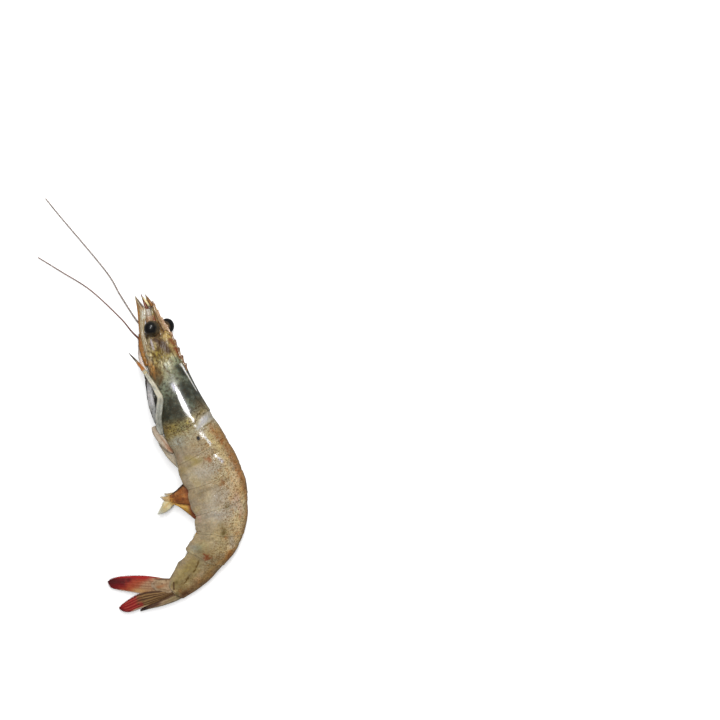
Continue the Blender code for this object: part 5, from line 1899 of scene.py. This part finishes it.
def outerPaint(t, u, small, fine):
    tip = t + 0.1 * u + 0.05 * small
    lines = sum(line(u + 0.12 * (1 - t), spot, 0.06) for spot in (0.62, 0.3, -0.02, -0.34))
    return layer(
        np.array([170, 140, 104]) + 14 * small[..., None],
        (0.6 * lines * (1 - ramp(t, 0.5, 0.72)), (118, 72, 48)),
        (0.5 * hill(t, 0.3, 0.5, 0.1), (160, 116, 90)),
        (0.9 * hill(tip, 0.5, 0.78, 0.09), (156, 58, 32)),
        (0.9 * ramp(u, 0.5, 0.85) * ramp(t, 0.3, 0.5), (150, 16, 12)),
        (0.7 * ramp(-u + 0.1 * small, 0.15, 0.8) * hill(t, 0.4, 0.62, 0.1), (206, 158, 98)),
        (ramp(tip, 0.62, 0.78), (116, 12, 16)),
        (0.85 * ramp(tip, 0.8, 0.98), (66, 4, 8)),
        (0.7 * ramp(tip, 0.66, 0.76) * line(u, 0.25, 0.4), (72, 8, 10)),
        (0.9 * ramp(u, 0.74, 0.9) * hill(t, 0.42, 0.9, 0.06), (168, 18, 14)),
        (0.85 * ramp(-u, 0.86, 0.97) * hill(t, 0.42, 0.84, 0.05), (214, 192, 160)),
        (0.7 * ramp(u, 0.7, 0.9) * (1 - ramp(t, 0.25, 0.35)), (100, 58, 38)),
        (0.7 * line(t, 0.24, 0.035) * line(u, -0.25, 0.25), (168, 88, 40)),
        (0.35 * ramp(-fine, 0.3, 0.8), (96, 56, 40)),
    )


def innerPaint(t, u, small, fine):
    tip = t - 0.06 * u + 0.05 * small
    across = u * (1.05 - 0.25 * t) + 0.06 * small
    ribs = ((0.8, 0.09), (0.42, 0.05), (0.12, 0.1), (-0.36, 0.06), (-0.6, 0.05))
    gaps = ((0.6, 0.05), (0.28, 0.04), (-0.12, 0.07), (-0.48, 0.04))
    dark, pale = (sum(line(across, spot, wide) for spot, wide in rows) for rows in (ribs, gaps))
    return layer(
        np.array([116, 84, 48]) + 16 * small[..., None],
        (0.85 * dark * (1 - 0.6 * ramp(t, 0.55, 0.75)), (54, 30, 16)),
        (0.7 * pale * (1 - ramp(t, 0.5, 0.66)), (164, 134, 86)),
        (ramp(tip, 0.56, 0.7), (134, 22, 24)),
        (0.7 * pale * hill(t, 0.6, 0.9, 0.06), (206, 110, 84)),
        (0.85 * ramp(tip, 0.9, 0.99), (104, 10, 16)),
        (0.6 * ramp(np.abs(u), 0.82, 0.97) * ramp(t, 0.66, 0.8), (112, 22, 30)),
        (0.9 * ramp(-u, 0.72, 0.9) * hill(t, 0.5, 0.78, 0.05), (206, 180, 140)),
        (0.6 * ramp(u, 0.86, 0.97) * (1 - ramp(t, 0.4, 0.6)), (64, 42, 28)),
    )


def telsonPaint(t, u, small, fine):
    return layer(
        np.array([154, 136, 100]) + 16 * small[..., None],
        (0.6 * ramp(t, 0.25, 0.6), (166, 138, 116)),
        (0.5 * ramp(small, 0.1, 0.6), (184, 166, 134)),
        (0.5 * line(u + 0.1 * small, 0.3, 0.1), (110, 84, 56)),
        (0.4 * line(u + 0.1 * small, -0.3, 0.1), (116, 92, 64)),
        (0.9 * ramp(u + 0.1 * small, 0.6, 0.85) * ramp(t, 0.15, 0.3), (76, 50, 32)),
        (0.9 * ramp(u + 1.6 * (t - 0.6), 0.0, 0.4) * ramp(t, 0.5, 0.66), (70, 44, 32)),
        (0.95 * ramp(t, 0.8, 0.9), (44, 28, 24)),
        (0.5 * (1 - ramp(t, 0.05, 0.15)) * ramp(fine, 0.0, 0.5), (150, 90, 44)),
    )


def footPaint(t, u, small, fine):
    return layer(
        np.array([168, 142, 110]) + 18 * small[..., None],
        (0.6 * ramp(t, 0.6, 0.95), (172, 150, 130)),
        (0.7 * hill(t, 0.02, 0.22, 0.06) * ramp(-u, -0.5, 0.3), (200, 182, 156)),
        (0.8 * ramp(u, 0.78, 0.95) * (1 - ramp(t, 0.6, 0.8)), (76, 56, 44)),
        (0.5 * line(u + 0.14 * small, 0.35, 0.1), (124, 90, 62)),
        (0.5 * line(u + 0.14 * small, -0.5, 0.1) * (1 - ramp(t, 0.5, 0.8)), (104, 74, 46)),
        (0.5 * ramp(-t + 0.2 * u + 0.2 * small, -0.3, 0.0), (110, 78, 50)),
        (0.6 * line(t + 0.1 * small, 0.6, 0.12) * line(u, -0.1 + 0.2 * small, 0.25), (156, 88, 46)),
        (0.5 * line(t + 0.2 * small, 0.45, 0.05) * line(u, 0.1, 0.3), (128, 82, 50)),
        (0.6 * ramp(-fine, 0.2, 0.7), (112, 84, 56)),
    )


def tailFan():
    values = fanValues
    for side, name, low in ((1, "left", 0.0), (-1, "right", 1.0)):
        def lay(key):  # the right half lies under the left one, a little more closed
            shift, down, up, level, drop, flatter = values["rightHalf"]
            spots = []
            for x, y, z in values[key]:
                closer = up * (y < level) - down * (y > level)
                spots.append((x + shift * low, y + closer * low, z - drop * low - flatter * z * low))
            return spots

        bag = newBag()
        leaf, ribs = (lay("outerTop"), lay("outerBottom")), values["outerRibs"]
        outer = sheet(bag, *leaf, values["thick"], outerPaint, 130, 96, 0.35, ribs, 0.3, specks=0.6)
        leaf, ribs = (lay("innerTop"), lay("innerBottom")), values["innerRibs"]
        inner = sheet(bag, *leaf, values["thick"], innerPaint, 120, 96, 0.45, ribs, 0.3, specks=0.6)
        ribs = ((0.25, 0.14, 0.1),)
        sheet(bag, lay("footTop"), lay("footBottom"), 1.5, footPaint, 50, 48, 0.3, ribs, 0.95, 1.0)
        makePiece(bag, name + "Fan", fanFinish)
        roots, aims, lengths = [], [], []
        for edges in (outer, inner):
            more = fringe(edges, 110, 0.45, 0.8, 0.8)
            roots, aims, lengths = roots + more[0], aims + more[1], lengths + more[2]
        bristles(name + "FanBristles", roots, aims, lengths, redBristleFinish, 0.03, 0.6, 0.15)
    bag = newBag()
    ribs = ((0.0, 0.2, 0.2), (0.55, 0.12, 0.1), (-0.55, 0.12, 0.1))
    sheet(bag, values["telsonTop"], values["telsonBottom"], 2.2, telsonPaint, 90, 56, 0.7, ribs, 0.6)
    makePiece(bag, "telson", limbFinish)


tailFan()
print("tail fan made")


# Floor and light

studio = {
    "floor": (0.3, 0.9),  # its tone for the light and for the camera
    "floorGlow": 0.42,
    "floorReach": 3.0,
    "floorDepth": 0.0001,
    "aim": (0.018, -0.005, 0.012),
    "world": 0.25,
    "keyWay": (0.15, 0.4, 0.9),
    "keyDistance": 1.0,
    "keySize": (0.2, 0.9),
    "keyPower": 10.8,
}


def stage():
    mesh = bpy.data.meshes.new("floor")
    far, deep = studio["floorReach"], -studio["floorDepth"]
    corners = [(-far, -far, deep), (far, -far, deep), (far, far, deep), (-far, far, deep)]
    mesh.from_pydata(corners, [], [(0, 1, 2, 3)])
    material = bpy.data.materials.new("floor")
    material.use_nodes = True
    tree = material.node_tree
    shader = tree.nodes["Principled BSDF"]
    setSockets(shader, {"Roughness": 0.9, "Specular IOR Level": 0.1, "Emission Color": (1, 1, 1, 1)})
    seen = tree.nodes.new("ShaderNodeLightPath").outputs["Is Camera Ray"]
    low, high = studio["floor"]
    tone = mixColour(tree, seen, (low, low, low, 1), (high, high, high, 1))
    tree.links.new(tone, shader.inputs["Base Color"])
    tree.links.new(sums(tree, "MULTIPLY", seen, studio["floorGlow"]), shader.inputs["Emission Strength"])
    mesh.materials.append(material)
    floor = bpy.data.objects.new("floor", mesh)
    bpy.context.scene.collection.objects.link(floor)

    world = bpy.data.worlds.new("studio")
    world.use_nodes = True
    setSockets(world.node_tree.nodes["Background"], {"Color": (1, 1, 1, 1), "Strength": studio["world"]})
    bpy.context.scene.world = world

    keyData = bpy.data.lights.new("key", "AREA")
    keyData.shape = "RECTANGLE"
    keyData.size, keyData.size_y = studio["keySize"]
    keyData.energy = studio["keyPower"]
    key = bpy.data.objects.new("key", keyData)
    way = Vector(studio["keyWay"]).normalized()
    key.location = Vector(studio["aim"]) + way * studio["keyDistance"]
    key.rotation_euler = (-way).to_track_quat("-Z", "Y").to_euler()
    bpy.context.scene.collection.objects.link(key)


stage()
print("light set")
